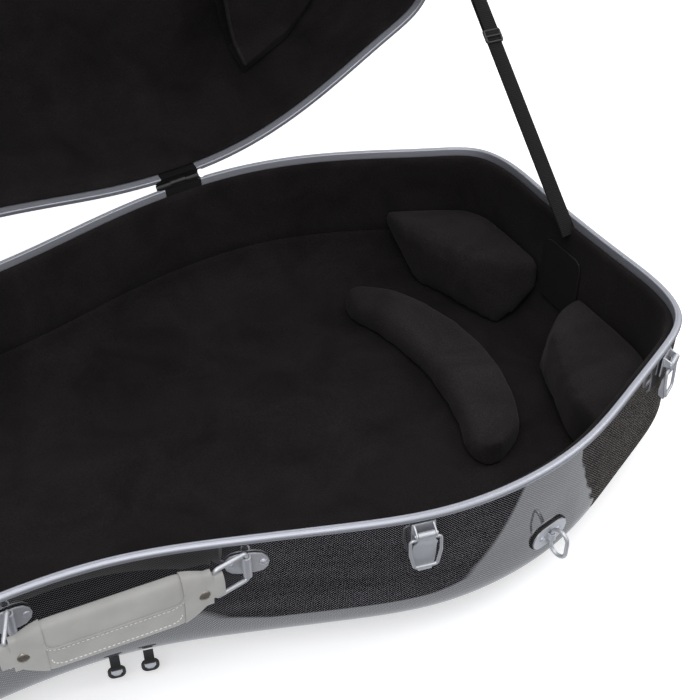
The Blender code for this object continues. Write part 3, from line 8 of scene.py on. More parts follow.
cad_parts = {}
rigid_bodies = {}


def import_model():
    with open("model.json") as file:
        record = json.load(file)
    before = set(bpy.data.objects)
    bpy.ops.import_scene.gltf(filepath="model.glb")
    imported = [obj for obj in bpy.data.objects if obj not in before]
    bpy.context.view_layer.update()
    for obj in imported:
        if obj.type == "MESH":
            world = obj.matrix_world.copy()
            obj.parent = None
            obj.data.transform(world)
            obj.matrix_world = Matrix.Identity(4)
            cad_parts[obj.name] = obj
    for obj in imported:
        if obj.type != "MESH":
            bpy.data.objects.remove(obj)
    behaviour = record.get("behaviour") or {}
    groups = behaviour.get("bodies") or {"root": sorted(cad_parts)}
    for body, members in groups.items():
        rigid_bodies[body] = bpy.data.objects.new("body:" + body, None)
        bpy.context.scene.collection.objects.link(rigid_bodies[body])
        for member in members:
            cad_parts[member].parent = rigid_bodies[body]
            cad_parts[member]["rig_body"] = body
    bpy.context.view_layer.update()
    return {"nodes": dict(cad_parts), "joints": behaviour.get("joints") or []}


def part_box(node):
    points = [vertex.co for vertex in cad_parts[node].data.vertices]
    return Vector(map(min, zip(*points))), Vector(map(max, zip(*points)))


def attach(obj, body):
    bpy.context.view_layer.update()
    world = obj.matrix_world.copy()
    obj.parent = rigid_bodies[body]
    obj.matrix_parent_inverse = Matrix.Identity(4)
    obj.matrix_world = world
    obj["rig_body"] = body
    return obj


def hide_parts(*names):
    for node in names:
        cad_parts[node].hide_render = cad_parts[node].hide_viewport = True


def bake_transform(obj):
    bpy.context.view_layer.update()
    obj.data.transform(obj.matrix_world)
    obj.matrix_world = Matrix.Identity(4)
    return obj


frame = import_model()
nodes = frame["nodes"]
joints = {joint["name"]: joint for joint in frame["joints"]}
MM = 0.001

# ---- Camera -----------------------------------------------------------------------------------------
# A product camera about a metre away on the latch side, looking down over the waist into the lower
# bout. Its frame cuts off the neck end and the top of the lid, and its lens is shifted a little.
eye = Vector((0.058043, -0.860164, 0.773060))
to_right = Vector((0.89579, -0.44292, -0.03723))
downward = Vector((-0.28393, -0.50576, -0.81461))
ahead = Vector((0.34198, 0.74029, -0.57881))
camera_data = bpy.data.cameras.new("product_camera")
camera_data.sensor_width = 36
camera_data.lens = 70.55
camera_data.shift_x = 0.0191
camera_data.shift_y = -0.0759
camera = bpy.data.objects.new("product_camera", camera_data)
bpy.context.scene.collection.objects.link(camera)
stand = Matrix((to_right, -downward, -ahead)).transposed().to_4x4()
stand.translation = eye
camera.matrix_world = stand
bpy.context.scene.camera = camera

# ---- Studio -----------------------------------------------------------------------------------------
# A white table in a white studio. The table is seen white by the camera; in the case's gloss it ends
# at straight edges, beyond which the studio floor is dark, and a brown fur rug lies beyond the tail.


def linear(code):
    """An sRGB hex colour as linear red, green, blue and 1."""
    parts = np.array([int(code[k:k + 2], 16) for k in (1, 3, 5)]) / 255
    bright = np.where(parts > 0.04045, ((parts + 0.055) / 1.055) ** 2.4, parts / 12.92)
    return (*bright, 1.0)


def add_node(tree, kind, links=(), **settings):
    """Adds a node, sets its properties or its inputs by name or number, and links sockets to inputs."""
    made = tree.nodes.new(kind)
    for name, value in settings.items():
        if hasattr(made, name):
            setattr(made, name, value)
        else:
            key = int(name[1:]) if name[0] == "i" and name[1:].isdigit() else name.replace("_", " ")
            made.inputs[key].default_value = value
    for key, socket in dict(links).items():
        tree.links.new(socket, made.inputs[key])
    return made


def new_material(name, along_surface=False):
    """A material with an empty node tree, the tree, its surface input, and the coordinates in metres
    that it follows: the object's own, or those of the piece's UV map."""
    made = bpy.data.materials.new(name)
    made.use_nodes = True
    tree = made.node_tree
    tree.nodes.clear()
    surface = tree.nodes.new("ShaderNodeOutputMaterial").inputs[0]
    if along_surface:
        return made, tree, surface, add_node(tree, "ShaderNodeUVMap", uv_map="surface").outputs[0]
    return made, tree, surface, tree.nodes.new("ShaderNodeTexCoord").outputs["Object"]


world = bpy.data.worlds.new("white_studio")
world.use_nodes = True
sky = world.node_tree
sky.nodes.clear()
sky_out = sky.nodes.new("ShaderNodeOutputWorld")
ray = sky.nodes.new("ShaderNodeLightPath")
seen = add_node(sky, "ShaderNodeMath", {0: ray.outputs["Is Camera Ray"], 1: ray.outputs["Is Glossy Ray"]},
                operation="MAXIMUM")
seen = add_node(sky, "ShaderNodeMath", {0: seen.outputs[0], 1: ray.outputs["Is Transmission Ray"]},
                operation="MAXIMUM")
dim = add_node(sky, "ShaderNodeBackground", Color=linear("#e8eaee"), Strength=0.55)
white = add_node(sky, "ShaderNodeBackground", Color=(1, 1, 1, 1), Strength=1.0)
both = add_node(sky, "ShaderNodeMixShader",
                {0: seen.outputs[0], 1: dim.outputs[0], 2: white.outputs[0]})
sky.links.new(both.outputs[0], sky_out.inputs[0])
bpy.context.scene.world = world

table_white, tree, surface, where = new_material("white_table")
tuft = add_node(tree, "ShaderNodeTexNoise", {"Vector": where}, Scale=60.0, Detail=5.0)


def past_line(x_share, y_share, at, blur, fray=0.0):
    """On the table: 1 where x_share x + y_share y passes `at` and 0 before it, over an edge `blur` wide
    each way, which the rug's tufts push about by `fray`."""
    line = add_node(tree, "ShaderNodeVectorMath", {0: where}, operation="DOT_PRODUCT",
                    i1=(x_share, y_share, 0.0))
    frayed = add_node(tree, "ShaderNodeMath", {0: tuft.outputs[0], 2: line.outputs["Value"]},
                      operation="MULTIPLY_ADD", i1=fray)
    return add_node(tree, "ShaderNodeMapRange", {"Value": frayed.outputs[0]}, From_Min=at - blur,
                    From_Max=at + blur).outputs[0]


on_table = add_node(tree, "ShaderNodeMath", {0: past_line(0.0, 1.0, -283 * MM, 2 * MM),
                                             1: past_line(0.29, 1.0, -205 * MM, 2 * MM)},
                    operation="MAXIMUM")
gloss_tone = add_node(tree, "ShaderNodeMix", {"Factor": on_table.outputs[0]}, data_type="RGBA",
                      i6=linear("#19191b"), i7=(0.92, 0.95, 1.0, 1.0))
fur = add_node(tree, "ShaderNodeMix", {"Factor": tuft.outputs[0]}, data_type="RGBA",
               i6=linear("#201e1b"), i7=linear("#6f6a60"))
gloss_tone = add_node(tree, "ShaderNodeMix", {"Factor": past_line(1.0, 1.08, 333 * MM, 3 * MM, 50 * MM),
                                              6: gloss_tone.outputs[2], 7: fur.outputs[2]}, data_type="RGBA")
gloss_seen = add_node(tree, "ShaderNodeEmission", {0: gloss_tone.outputs[2]}, Strength=0.78)
paper = add_node(tree, "ShaderNodeBsdfPrincipled", Base_Color=linear("#f2f2f3"), Roughness=0.9,
                 Emission_Color=(1, 1, 1, 1), Emission_Strength=0.45)
ray = tree.nodes.new("ShaderNodeLightPath")
floor_mix = add_node(tree, "ShaderNodeMixShader",
                     {0: ray.outputs["Is Glossy Ray"], 1: paper.outputs[0], 2: gloss_seen.outputs[0]})
tree.links.new(floor_mix.outputs[0], surface)
floor_mesh = bpy.data.meshes.new("studio_floor")
floor_mesh.from_pydata([(-9, -9, 0), (9, -9, 0), (9, 9, 0), (-9, 9, 0)], [], [(0, 1, 2, 3)])
floor_mesh.materials.append(table_white)
floor = bpy.data.objects.new("studio_floor", floor_mesh)
bpy.context.scene.collection.objects.link(floor)

for label, place, size, power in (("key_softbox", (-0.5, -1.6, 2.4), 1.8, 34),
                                  ("fill_softbox", (2.2, -0.6, 2.0), 1.6, 22),
                                  ("top_softbox", (0.2, 0.9, 2.8), 2.0, 24)):
    lamp = bpy.data.lights.new(label, "AREA")
    lamp.shape = "SQUARE"
    lamp.size = size
    lamp.energy = power
    holder = bpy.data.objects.new(label, lamp)
    bpy.context.scene.collection.objects.link(holder)
    turned = (Vector((0.3, 0.0, 0.15)) - Vector(place)).to_track_quat("-Z", "Y")
    holder.matrix_world = Matrix.Translation(place) @ turned.to_matrix().to_4x4()

# ---- Shells -----------------------------------------------------------------------------------------
# Two moulded trays of woven black fibre under clear lacquer, 2.7 mm thick: a drafted wall, a round
# corner and a slightly crowned panel. Their outline is one smooth closed curve, the same for both.
CASE_LENGTH = 1330 * MM
SHELL_THICKNESS = 2.7 * MM
DRAFT = 0.085
SHELL_EDGE = 1.4 * MM
shell_depths = {"base": 126 * MM, "lid": 128 * MM}
corner_radii = {"base": 47 * MM, "lid": 62 * MM}
panel_crowns = {"base": 2 * MM, "lid": 14 * MM}

# The plan is drawn in millimetres from the middle of the tail end: (x, half width on the latch side,
# half width on the hinge side). It lies in the rims' parting plane, which holds the hinge axis.
outline_half_widths = np.array([
    (0, 60, 70), (0, 104, 118), (-13, 147, 157), (-50, 176, 180), (-100, 204, 204), (-160, 234, 228),
    (-220, 248, 240), (-280, 247, 239), (-350, 228, 226), (-420, 204, 205), (-490, 185, 188),
    (-560, 181, 182), (-640, 187, 187), (-710, 190, 190), (-780, 180, 180), (-850, 154, 154),
    (-910, 126, 126), (-980, 108, 108), (-1070, 100, 100), (-1170, 96, 96), (-1260, 88, 88),
    (-1310, 66, 66), (-1328, 34, 34)]) * MM
AROUND = 512

# Rubber foot 2 is screwed on 230 mm from the tail end and 160 mm to the hinge side of the middle,
# which tells where the plan's origin is in the case's own frame.
lid_joint = joints["lid_turn"]
foot_middle = np.mean(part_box("rubber_foot_2"), axis=0)
CASE_SHIFT = np.array([foot_middle[0] + 230 * MM, foot_middle[1] - 160 * MM, lid_joint["pos_m"][2]])
lid_open = (Matrix.Translation(Vector(lid_joint["pos_m"]))
            @ Matrix.Rotation(-np.radians(lid_joint["range_deg"][1]), 4, Vector(lid_joint["axis"]))
            @ Matrix.Translation(-Vector(lid_joint["pos_m"])))


def steps_along(path):
    """The distance along a path at each of its points."""
    return np.concatenate([[0], np.cumsum(np.linalg.norm(np.diff(path, axis=0), axis=1))])


def unit(vectors):
    """Vectors divided by their lengths."""
    return vectors / np.linalg.norm(vectors, axis=-1, keepdims=True)


def smooth_outline():
    """The closed cubic through the half widths whose second derivatives meet, as AROUND points spaced
    evenly along each side from the tail centre over the hinge side to the neck end and back."""
    x, latch, hinge = outline_half_widths.T
    points = np.vstack([np.c_[x, hinge], [[-CASE_LENGTH, 0.0]], np.c_[x, -latch][::-1]])
    n = len(points)
    following = np.roll(points, -1, axis=0)
    h = np.hypot(*(following - points).T)
    slope = (following - points) / h[:, None]
    system = np.diag(2 * (h + np.roll(h, 1)))
    rows = np.arange(n)
    system[rows, rows - 1] = np.roll(h, 1)
    system[rows, (rows + 1) % n] = h
    bend = np.linalg.solve(system, 6 * (slope - np.roll(slope, 1, axis=0)))
    t = np.linspace(0, 1, 60, endpoint=False)[None, :, None]
    a, b = 1 - t, t
    bow = (a ** 3 - a) * bend[:, None] + (b ** 3 - b) * np.roll(bend, -1, axis=0)[:, None]
    curve = a * points[:, None] + b * following[:, None] + bow * (h ** 2)[:, None, None] / 6
    curve = curve.reshape(-1, 2)
    tail_centre = int(np.argmin(np.abs(curve[:, 1]) + (curve[:, 0] < -CASE_LENGTH / 2)))
    curve = np.roll(curve, -tail_centre, axis=0)
    closed = np.vstack([curve, curve[:1]])
    length = steps_along(closed)
    half = length[int(np.argmin(curve[:, 0]))]
    marks = np.concatenate([np.linspace(0, half, AROUND // 2, endpoint=False),
                            np.linspace(half, length[-1], AROUND // 2, endpoint=False)])
    return np.c_[np.interp(marks, length, closed[:, 0]), np.interp(marks, length, closed[:, 1])]


outline = smooth_outline()
along = unit(np.roll(outline, -1, axis=0) - np.roll(outline, 1, axis=0))
inward = np.c_[-along[:, 1], along[:, 0]]
girth = steps_along(np.vstack([outline, outline[:1]]))
away = np.abs(girth[:-1, None] - girth[None, :-1])
away = np.minimum(away, girth[-1] - away)
smoothed = unit(np.clip(1 - away / (90 * MM), 0, None) @ inward)


def moved_in(inset):
    """The outline moved inwards: square to itself for 12 mm, then along its smoothed normals."""
    inset = np.broadcast_to(inset, AROUND)[:, None]
    return outline + inward * np.minimum(inset, 12 * MM) + smoothed * np.maximum(inset - 12 * MM, 0)


def depth_of(half, x):
    """A shell's depth: full to 850 mm from the tail, then falling by 26 mm to the neck end."""
    return shell_depths[half] - 26 * MM * np.clip((-x - 850 * MM) / (CASE_LENGTH - 850 * MM), 0, 1)


def wall_rows(half, offset, first, straight, turned):
    """Rows (inset, drop) all round, on the surface lying offset inside a shell: `straight` rows down
    the drafted wall from a first drop, then `turned` rows round the quarter circle to the panel."""
    radius = corner_radii[half]
    end = depth_of(half, outline[:, 0]) - radius
    drops = first + (end - first) * np.linspace(0, 1, straight)[:, None]
    insets = SHELL_EDGE + DRAFT * drops + offset
    angle = np.linspace(0, np.pi / 2, turned + 1)[1:, None]
    inner = radius - offset
    drops = np.vstack([drops, end + inner * np.sin(angle)])
    insets = np.vstack([insets, insets[-1] + inner * (1 - np.cos(angle))])
    return insets, drops


def rings_of(insets, drops, half):
    """Points of rows of insets and drops: below the parting plane in the base, above it in the lid."""
    rings = np.array([moved_in(row) for row in insets])
    sign = 1 if half == "lid" else -1
    return np.dstack([rings, sign * np.broadcast_to(drops, rings.shape[:2])])


def panel_rows(edge, half, count):
    """Rows across the case from one side of a ring to the other: straight lines raised by a parabola
    that is full where the panel is 250 mm wide and dies out over 160 mm towards both ends."""
    middle = AROUND // 2
    one, other = edge[1:middle], edge[:middle:-1]
    width = np.clip(np.abs(one[:, 1] - other[:, 1]) / (250 * MM), 0, 1)
    centre = (one[:, 0] + other[:, 0]) / 2
    reach = np.minimum(np.abs(centre - edge[0, 0]), np.abs(centre - edge[middle, 0]))
    share = width * np.sin(np.pi / 2 * np.clip(reach / (160 * MM), 0, 1))
    u = np.linspace(0, 1, count + 2)[1:-1, None, None]
    rows = one * (1 - u) + other * u
    crown = panel_crowns[half] if half == "lid" else -panel_crowns[half]
    rows[:, :, 2] += crown * share[None, :] * 4 * u[:, :, 0] * (1 - u[:, :, 0])
    return rows


def placed(points, half):
    """Points of the plan in the case's own frame; those of the lid are swung open with it."""
    points = np.asarray(points, float) + CASE_SHIFT
    if half == "base":
        return points
    turn = np.array(lid_open)
    return points @ turn[:3, :3].T + turn[:3, 3]


def mesh_piece(name, points, faces, finish, uv=None):
    """An object from arrays of points and faces, normals outwards, with an optional UV per face corner."""
    mesh = bpy.data.meshes.new(name)
    mesh.from_pydata(points.tolist(), [], faces)
    if uv is not None:
        mesh.uv_layers.new(name="surface").data.foreach_set("uv", np.asarray(uv, float).ravel())
    shape = bmesh.new()
    shape.from_mesh(mesh)
    bmesh.ops.remove_doubles(shape, verts=shape.verts, dist=1e-6)
    bmesh.ops.recalc_face_normals(shape, faces=shape.faces)
    shape.to_mesh(mesh)
    shape.free()
    mesh.shade_smooth()
    mesh.set_sharp_from_angle(angle=np.radians(38))
    mesh.materials.append(finish)
    made = bpy.data.objects.new(name, mesh)
    bpy.context.scene.collection.objects.link(made)
    return made


def grid_quads(rows, columns, start=0, wrap_rows=False):
    """Quads of a grid of points numbered row by row, whose last column joins the first, and the row and
    the column of each of their corners, counted on past the last where they wrap."""
    r, c = np.meshgrid(np.arange(rows if wrap_rows else rows - 1), np.arange(columns), indexing="ij")
    r, c = r.ravel(), c.ravel()
    corner_rows = np.stack([r, r, r + 1, r + 1], axis=1)
    corner_columns = np.stack([c, c + 1, c + 1, c], axis=1)
    quads = start + (corner_rows % rows) * columns + corner_columns % columns
    return quads, corner_rows, corner_columns


def tray(name, skins, half, finish, across=40):
    """A closed tray: an outer and an inner skin of rings from the rim inwards, joined at the rim, each
    closed by a crowned panel. UV is in metres: round the case and down the wall, or x and y on a panel."""
    points, faces, uv, starts = [], [], [], []
    total, middle = 0, AROUND // 2
    for skin in skins:
        starts.append(total)
        rows = len(skin)
        quads, r, c = grid_quads(rows, AROUND, total)
        down = np.vstack([0 * skin[:1, :, 0],
                          np.cumsum(np.linalg.norm(np.diff(skin, axis=0), axis=2), axis=0)])
        panel = panel_rows(skin[-1], half, across)
        last, first = total + (rows - 1) * AROUND, total + rows * AROUND
        lines = np.vstack([[last + np.arange(1, middle)],
                           first + np.arange(across * (middle - 1)).reshape(across, middle - 1),
                           [last + AROUND - np.arange(1, middle)]])
        panel_faces = np.stack([lines[:-1, :-1], lines[:-1, 1:], lines[1:, 1:], lines[1:, :-1]],
                               axis=-1).reshape(-1, 4)
        ends = [[last, int(p), int(q)] for p, q in zip(lines[:-1, 0], lines[1:, 0])]
        ends += [[last + middle, int(q), int(p)] for p, q in zip(lines[:-1, -1], lines[1:, -1])]
        points.append(np.vstack([*skin, *panel]))
        faces += quads.tolist() + panel_faces.tolist() + ends
        uv.append(np.stack([girth[c], down[r, c % AROUND]], axis=-1).reshape(-1, 2))
        uv += [points[-1][np.ravel(corners) - total, :2] for corners in (panel_faces, ends)]
        total += len(points[-1])
    ring = np.arange(AROUND)
    onward = (ring + 1) % AROUND
    lip = np.stack([ring, onward, starts[1] + onward, starts[1] + ring], axis=1)
    uv.append(np.zeros((lip.size, 2)))
    return mesh_piece(name, placed(np.vstack(points), half), faces + lip.tolist(), finish, np.vstack(uv))


def hand_over(piece, body, solid=None):
    """Says which body a piece rides on, and the solid that it stands for."""
    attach(piece, body)
    if solid:
        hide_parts(solid)


# Woven fibre under clear lacquer: staggered light flecks where the threads turn up to the light, on
# near-black resin, under a deep smooth gloss. The flecks stand 1.55 mm apart on the diagonals of a
# 2.2 mm weave, and drift in brightness in patches 150 mm along the case, 55 mm across and 14 mm high.
woven_gloss, tree, surface, where = new_material("lacquered_woven_fibre", along_surface=True)
scaled = add_node(tree, "ShaderNodeVectorMath", {0: where}, operation="SCALE", Scale=2 * np.pi / (2.2 * MM))
split = add_node(tree, "ShaderNodeSeparateXYZ", {0: scaled.outputs[0]})
warp, weft = [add_node(tree, "ShaderNodeMath", {0: split.outputs[axis]}, operation="COSINE")
              for axis in (0, 1)]
flecks = add_node(tree, "ShaderNodeMath", {0: warp.outputs[0], 1: weft.outputs[0]}, operation="MULTIPLY")
fleck_mask = add_node(tree, "ShaderNodeMapRange", {"Value": flecks.outputs[0]}, From_Min=0.10,
                      From_Max=0.70, interpolation_type="SMOOTHSTEP")
drawn_out = add_node(tree, "ShaderNodeVectorMath",
                     {0: tree.nodes.new("ShaderNodeTexCoord").outputs["Object"]},
                     operation="MULTIPLY_ADD", i1=(6.78, 18.47, 71.0), i2=(4.46, 5.54, -0.64))
patches = add_node(tree, "ShaderNodeTexNoise", {"Vector": drawn_out.outputs[0]}, Scale=1.0, Detail=3.0)
tone = add_node(tree, "ShaderNodeMapRange", {"Value": patches.outputs[0]}, From_Min=0.3, From_Max=0.7,
                To_Min=0.75, To_Max=1.15)
thread = add_node(tree, "ShaderNodeMix", {"Factor": fleck_mask.outputs[0]}, data_type="RGBA",
                  i6=linear("#070708"), i7=linear("#78767b"))
thread_tone = add_node(tree, "ShaderNodeVectorMath", {0: thread.outputs[2], 1: tone.outputs[0]},
                       operation="MULTIPLY")
relief = add_node(tree, "ShaderNodeBump", {"Height": fleck_mask.outputs[0]}, Strength=0.35,
                  Distance=0.2 * MM)
resin = add_node(tree, "ShaderNodeBsdfPrincipled",
                 {"Base Color": thread_tone.outputs[0], "Normal": relief.outputs[0]}, Roughness=0.5,
                 Coat_Weight=1.0, Coat_Roughness=0.006, Coat_IOR=2.5, Specular_IOR_Level=0.0)
tree.links.new(resin.outputs[0], surface)


def read_out(elements, field, width):
    """A field of a mesh's points or faces as an array with `width` numbers a row."""
    values = np.zeros(len(elements) * width)
    elements.foreach_get(field, values)
    return values.reshape(-1, width)


def back_of(plate):
    """The middle of a plate's back and the way the plate faces: the normal that most of its area shares,
    turned to the latch side, and the lowest of its points along that normal."""
    mesh = nodes[plate].data
    points, normals = read_out(mesh.vertices, "co", 3), read_out(mesh.polygons, "normal", 3)
    areas = read_out(mesh.polygons, "area", 1)[:, 0]
    kind = np.unique(np.round(normals, 2), axis=0, return_inverse=True)[1].ravel()
    flat = kind == np.argmax(np.bincount(kind, areas))
    facing = unit(areas[flat] @ normals[flat])
    facing *= -np.sign(facing[1])
    middle = (points.min(axis=0) + points.max(axis=0)) / 2
    return middle - facing * (middle @ facing - (points @ facing).min()), facing


# Small flats are moulded into the wall where plates are riveted: within each plate's reach the wall is
# held 0.3 mm behind the plate's back, and it eases out of the flat over a further 30 mm.
PLATE_GAP, FLAT_EASE, FLAT_DEPTH = 0.3 * MM, 30 * MM, 4 * MM
base_skins, lid_skins = [[rings_of(*wall_rows(half, offset, SHELL_EDGE, 9, 14), half)
                          for offset in (0, SHELL_THICKNESS)] for half in ("base", "lid")]
flats = [(f"latch_{number}_bracket", 14 * MM) for number in (1, 2, 3, 4)]
flats += [(f"handle_plate_{side}", 16 * MM) for side in ("right", "left")]
flats += [(f"{end}_ring_gasket", 19 * MM) for end in ("tail", "neck")]
for plate, reach in flats:
    back, facing = back_of(plate)
    for skin, level in zip(base_skins, (0, -SHELL_THICKNESS)):
        offset = skin + CASE_SHIFT - (back - facing * PLATE_GAP)
        proud = offset @ facing
        sideways = np.linalg.norm(offset - proud[..., None] * facing, axis=-1)
        ease = np.clip(1 - (sideways - reach) / FLAT_EASE, 0, 1)
        push = np.clip(proud - level, 0, FLAT_DEPTH) * ease * ease * (3 - 2 * ease)
        skin -= push[..., None] * facing
for half, skins in (("base", base_skins), ("lid", lid_skins)):
    shell = tray(f"{half}_shell_lacquered", skins, half, woven_gloss)
    hand_over(shell, half, f"{half}_shell")

# ---- Rims -------------------------------------------------------------------------------------------
# Extruded aluminium channels, satin anodised, pushed over the shell edges. The outer edge is rolled
# to a round bead; the base rim has a groove along its top that the lid rim's edge closes on.
RIM_DROP = 0.15 * MM


def arc(centre, radius, first, last, count):
    """Points (inset, drop) on an arc between two angles in degrees, as a list."""
    angle = np.radians(np.linspace(first, last, count))
    return np.c_[centre[0] + radius * np.cos(angle), centre[1] + radius * np.sin(angle)].tolist()


def rim_profile(grooved):
    """The channel's closed section in mm, as (inset, drop): outer flange 4.2 mm deep, bead, web with its
    groove, and inner flange 7.4 mm deep."""
    outer_depth, inner_depth = 4.2, 7.4
    outer_lean, inner_lean = DRAFT * outer_depth, DRAFT * inner_depth
    groove = [[3.5, 0.02], [3.65, 0.22], [3.8, 0.06]] if grooved else [[3.5, 0.0]]
    return np.array([[outer_lean, outer_depth], [0.10, 3.2], *arc((2.6, 2.6), 2.6, 180, 270, 12), *groove,
                     *arc((4.3, 1.2), 1.2, 270, 360, 6), [5.5 + inner_lean, inner_depth],
                     [4.7 + inner_lean, inner_depth], [4.4, 1.2], [1.1, 1.2],
                     [1.1 + outer_lean, outer_depth]]) * MM


def hoop(name, insets, drops, half, finish):
    """A closed section carried round the outline: rows of insets and drops joined last to first."""
    rings = rings_of(insets, drops, half)
    quads, r, c = grid_quads(len(rings), AROUND, wrap_rows=True)
    step = np.linalg.norm(np.roll(rings, -1, axis=0) - rings, axis=2)
    down = np.vstack([0 * step[:1], np.cumsum(step, axis=0)])
    uv = np.stack([girth[c], down[r, c % AROUND]], axis=-1).reshape(-1, 2)
    return mesh_piece(name, placed(rings.reshape(-1, 3), half), quads.tolist(), finish, uv)


# Satin anodised aluminium: even silver grey, with fine draw lines along the extrusion that spread the
# highlight. The lines, 0.4 mm apart, wander a little over 100 mm of their length.
anodised, tree, surface, where = new_material("satin_anodised_aluminium", along_surface=True)
drawn = add_node(tree, "ShaderNodeVectorMath", {0: where}, operation="MULTIPLY", i1=(9.0, 2600.0, 1.0))
lines = add_node(tree, "ShaderNodeTexNoise", {"Vector": drawn.outputs[0]}, Scale=1.0, Detail=2.0)
line_rough = add_node(tree, "ShaderNodeMapRange", {"Value": lines.outputs[0]}, From_Min=0.3,
                      From_Max=0.7, To_Min=0.40, To_Max=0.50)
line_tone = add_node(tree, "ShaderNodeMix", {"Factor": lines.outputs[0]}, data_type="RGBA",
                     i6=linear("#9a9ca5"), i7=linear("#adafb8"))
metal = add_node(tree, "ShaderNodeBsdfPrincipled",
                 {"Roughness": line_rough.outputs[0], "Base Color": line_tone.outputs[2]}, Metallic=0.65)
tree.links.new(metal.outputs[0], surface)

# The rims' outer flanges are cut away for the two hinges. Each hinge saddle, made with the hinges
# below, has an inner lip that follows the rim there: its section in mm is given as (inset, drop).
CUT_HALF, LIP_HALF, CUT_INSET = 21.3 * MM, 20.6 * MM, 4.45 * MM
lip_section = np.array([(4.25, 0.05), (5.75, 0.05), (6.7, 8.2), (6.0, 8.2), (4.6, 3.2)]) * MM
hinge_places = [np.mean(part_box(f"{label}_hinge_pin"), axis=0) for label in ("lower", "upper")]
hinge_lips = []
for half in ("base", "lid"):
    profile = rim_profile(grooved=half == "base")
    insets = np.repeat(profile[:, :1], AROUND, axis=1)
    drops = np.repeat(profile[:, 1:] + RIM_DROP, AROUND, axis=1)
    for place in hinge_places:
        run = np.abs((outline - (place - CASE_SHIFT)[:2]) @ np.array(lid_joint["axis"])[:2])
        run[outline[:, 1] < 0] = CASE_LENGTH
        cut = run < CUT_HALF
        insets[:, cut] = np.maximum(insets[:, cut], CUT_INSET)
        lip = rings_of(lip_section[:, 0], np.repeat(lip_section[:, 1:], AROUND, axis=1), half)
        hinge_lips.append((half, placed(lip[:, run < LIP_HALF], half)))
    rim = hoop(f"{half}_rim_anodised", insets, drops, half, anodised)
    hand_over(rim, half, f"{half}_rim")

# ---- Linings ----------------------------------------------------------------------------------------
# Foam 6 to 7 mm thick under short-pile black velour, glued in: a band round the base's wall with its
# top edge tucked inside the rim, a floor piece butted to it, and one piece over the whole lid.

# Short-pile velour: a very dark cloth whose pile scatters light at grazing angles and lies in brushed
# patches some 50 mm across; single fibres, 0.4 mm, are drawn at 1 mm so that the grain shows.


def velour(name, dark, light, haze):
    """The velour in a given darkest and lightest shade of its brushed patches."""
    made, tree, surface, where = new_material(name)
    brushed = add_node(tree, "ShaderNodeTexNoise", {"Vector": where}, Scale=16.0, Detail=4.0,
                       Roughness=0.6, Distortion=0.6)
    pile = add_node(tree, "ShaderNodeTexNoise", {"Vector": where}, Scale=900.0, Detail=2.0)
    blend = add_node(tree, "ShaderNodeMath", {0: brushed.outputs[0], 1: pile.outputs[0]},
                     operation="MULTIPLY")
    spread = add_node(tree, "ShaderNodeMapRange", {"Value": blend.outputs[0]}, From_Min=0.12,
                      From_Max=0.40)
    shade = add_node(tree, "ShaderNodeMix", {"Factor": spread.outputs[0]}, data_type="RGBA",
                     i6=linear(dark), i7=linear(light))
    nap = add_node(tree, "ShaderNodeBump", {"Height": pile.outputs[0]}, Strength=0.5, Distance=0.6 * MM)
    cloth = add_node(tree, "ShaderNodeBsdfPrincipled",
                     {"Base Color": shade.outputs[2], "Normal": nap.outputs[0]}, Roughness=1.0,
                     Sheen_Weight=haze, Sheen_Roughness=0.45, Sheen_Tint=linear("#b8b0b2"),
                     Specular_IOR_Level=0.1)
    tree.links.new(cloth.outputs[0], surface)
    return made


wall_velour = velour("black_velour", "#151314", "#262324", 0.05)
# The pads and the pocket's piping take a lighter copy of the velour: painted light where they stand up into
# the light.
lit_pad_velour = velour("black_velour_painted_lit", "#1c1a1b", "#302d2e", 0.07)
LINING_SEAT = SHELL_THICKNESS + 0.84 * MM
BASE_LINING, LID_LINING = 7 * MM, 6 * MM
LINING_TOP, SEAM_TUCK = 8 * MM, 1.6 * MM


def ripple(x, y, z):
    """Soft creases of loosely glued cloth, up to 1 mm high: three crossed sine waves, 90 to 260 mm long."""
    return MM * (np.sin(24 * x + 31 * z + 3 * np.sin(9 * x)) + np.sin(41 * x - 55 * z + 7 * y)
                 + 0.6 * np.sin(70 * x + 88 * z)) / 2.6


def all_round(values):
    """A row with the same value at every point of the outline for each of the values, in mm."""
    return np.repeat(np.array(values)[:, None] * MM, AROUND, axis=1)


def lining_band():
    """Closed section of the wall lining: up the back inside the rim, over a rounded top edge, down the
    padded face, which ripples and dips at the seam, and back under the seam."""
    end = depth_of("base", outline[:, 0]) - corner_radii["base"]
    back_inset = (SHELL_EDGE + LINING_SEAT) / MM + DRAFT * 8.6
    head_in = all_round([back_inset, 6.5, 6.6, 7.3, 8.6, 10.1, 11.6])
    head_drop = all_round([8.6, 8.5, 7.2, 6.2, 5.8, 6.1, 7.2])
    share = np.linspace(0.04, 1, 16)[:, None]
    drops = LINING_TOP + (end - LINING_TOP) * share
    wave = ripple(outline[:, 0], outline[:, 1], -drops) * np.abs(np.sin(np.pi * share)) ** 0.5
    tuck = SEAM_TUCK * np.exp(-((1 - share) / 0.05) ** 2)
    insets = SHELL_EDGE + DRAFT * drops + LINING_SEAT + BASE_LINING + wave - tuck
    return (np.vstack([head_in, insets, SHELL_EDGE + DRAFT * end + LINING_SEAT]),
            np.vstack([head_drop, drops, end]))


def floor_skins():
    """Back and face of the floor lining, from just under the wall lining's seam to the panel, with the
    face's edge tucked into the seam."""
    skins = []
    for offset, tuck in ((LINING_SEAT, 0), (LINING_SEAT + BASE_LINING, SEAM_TUCK)):
        insets, drops = [rows[1:] for rows in wall_rows("base", offset, SHELL_EDGE, 2, 16)]
        drops[0] += 0.4 * MM
        insets[0] -= tuck
        skins.append(rings_of(insets, drops, "base"))
    return skins


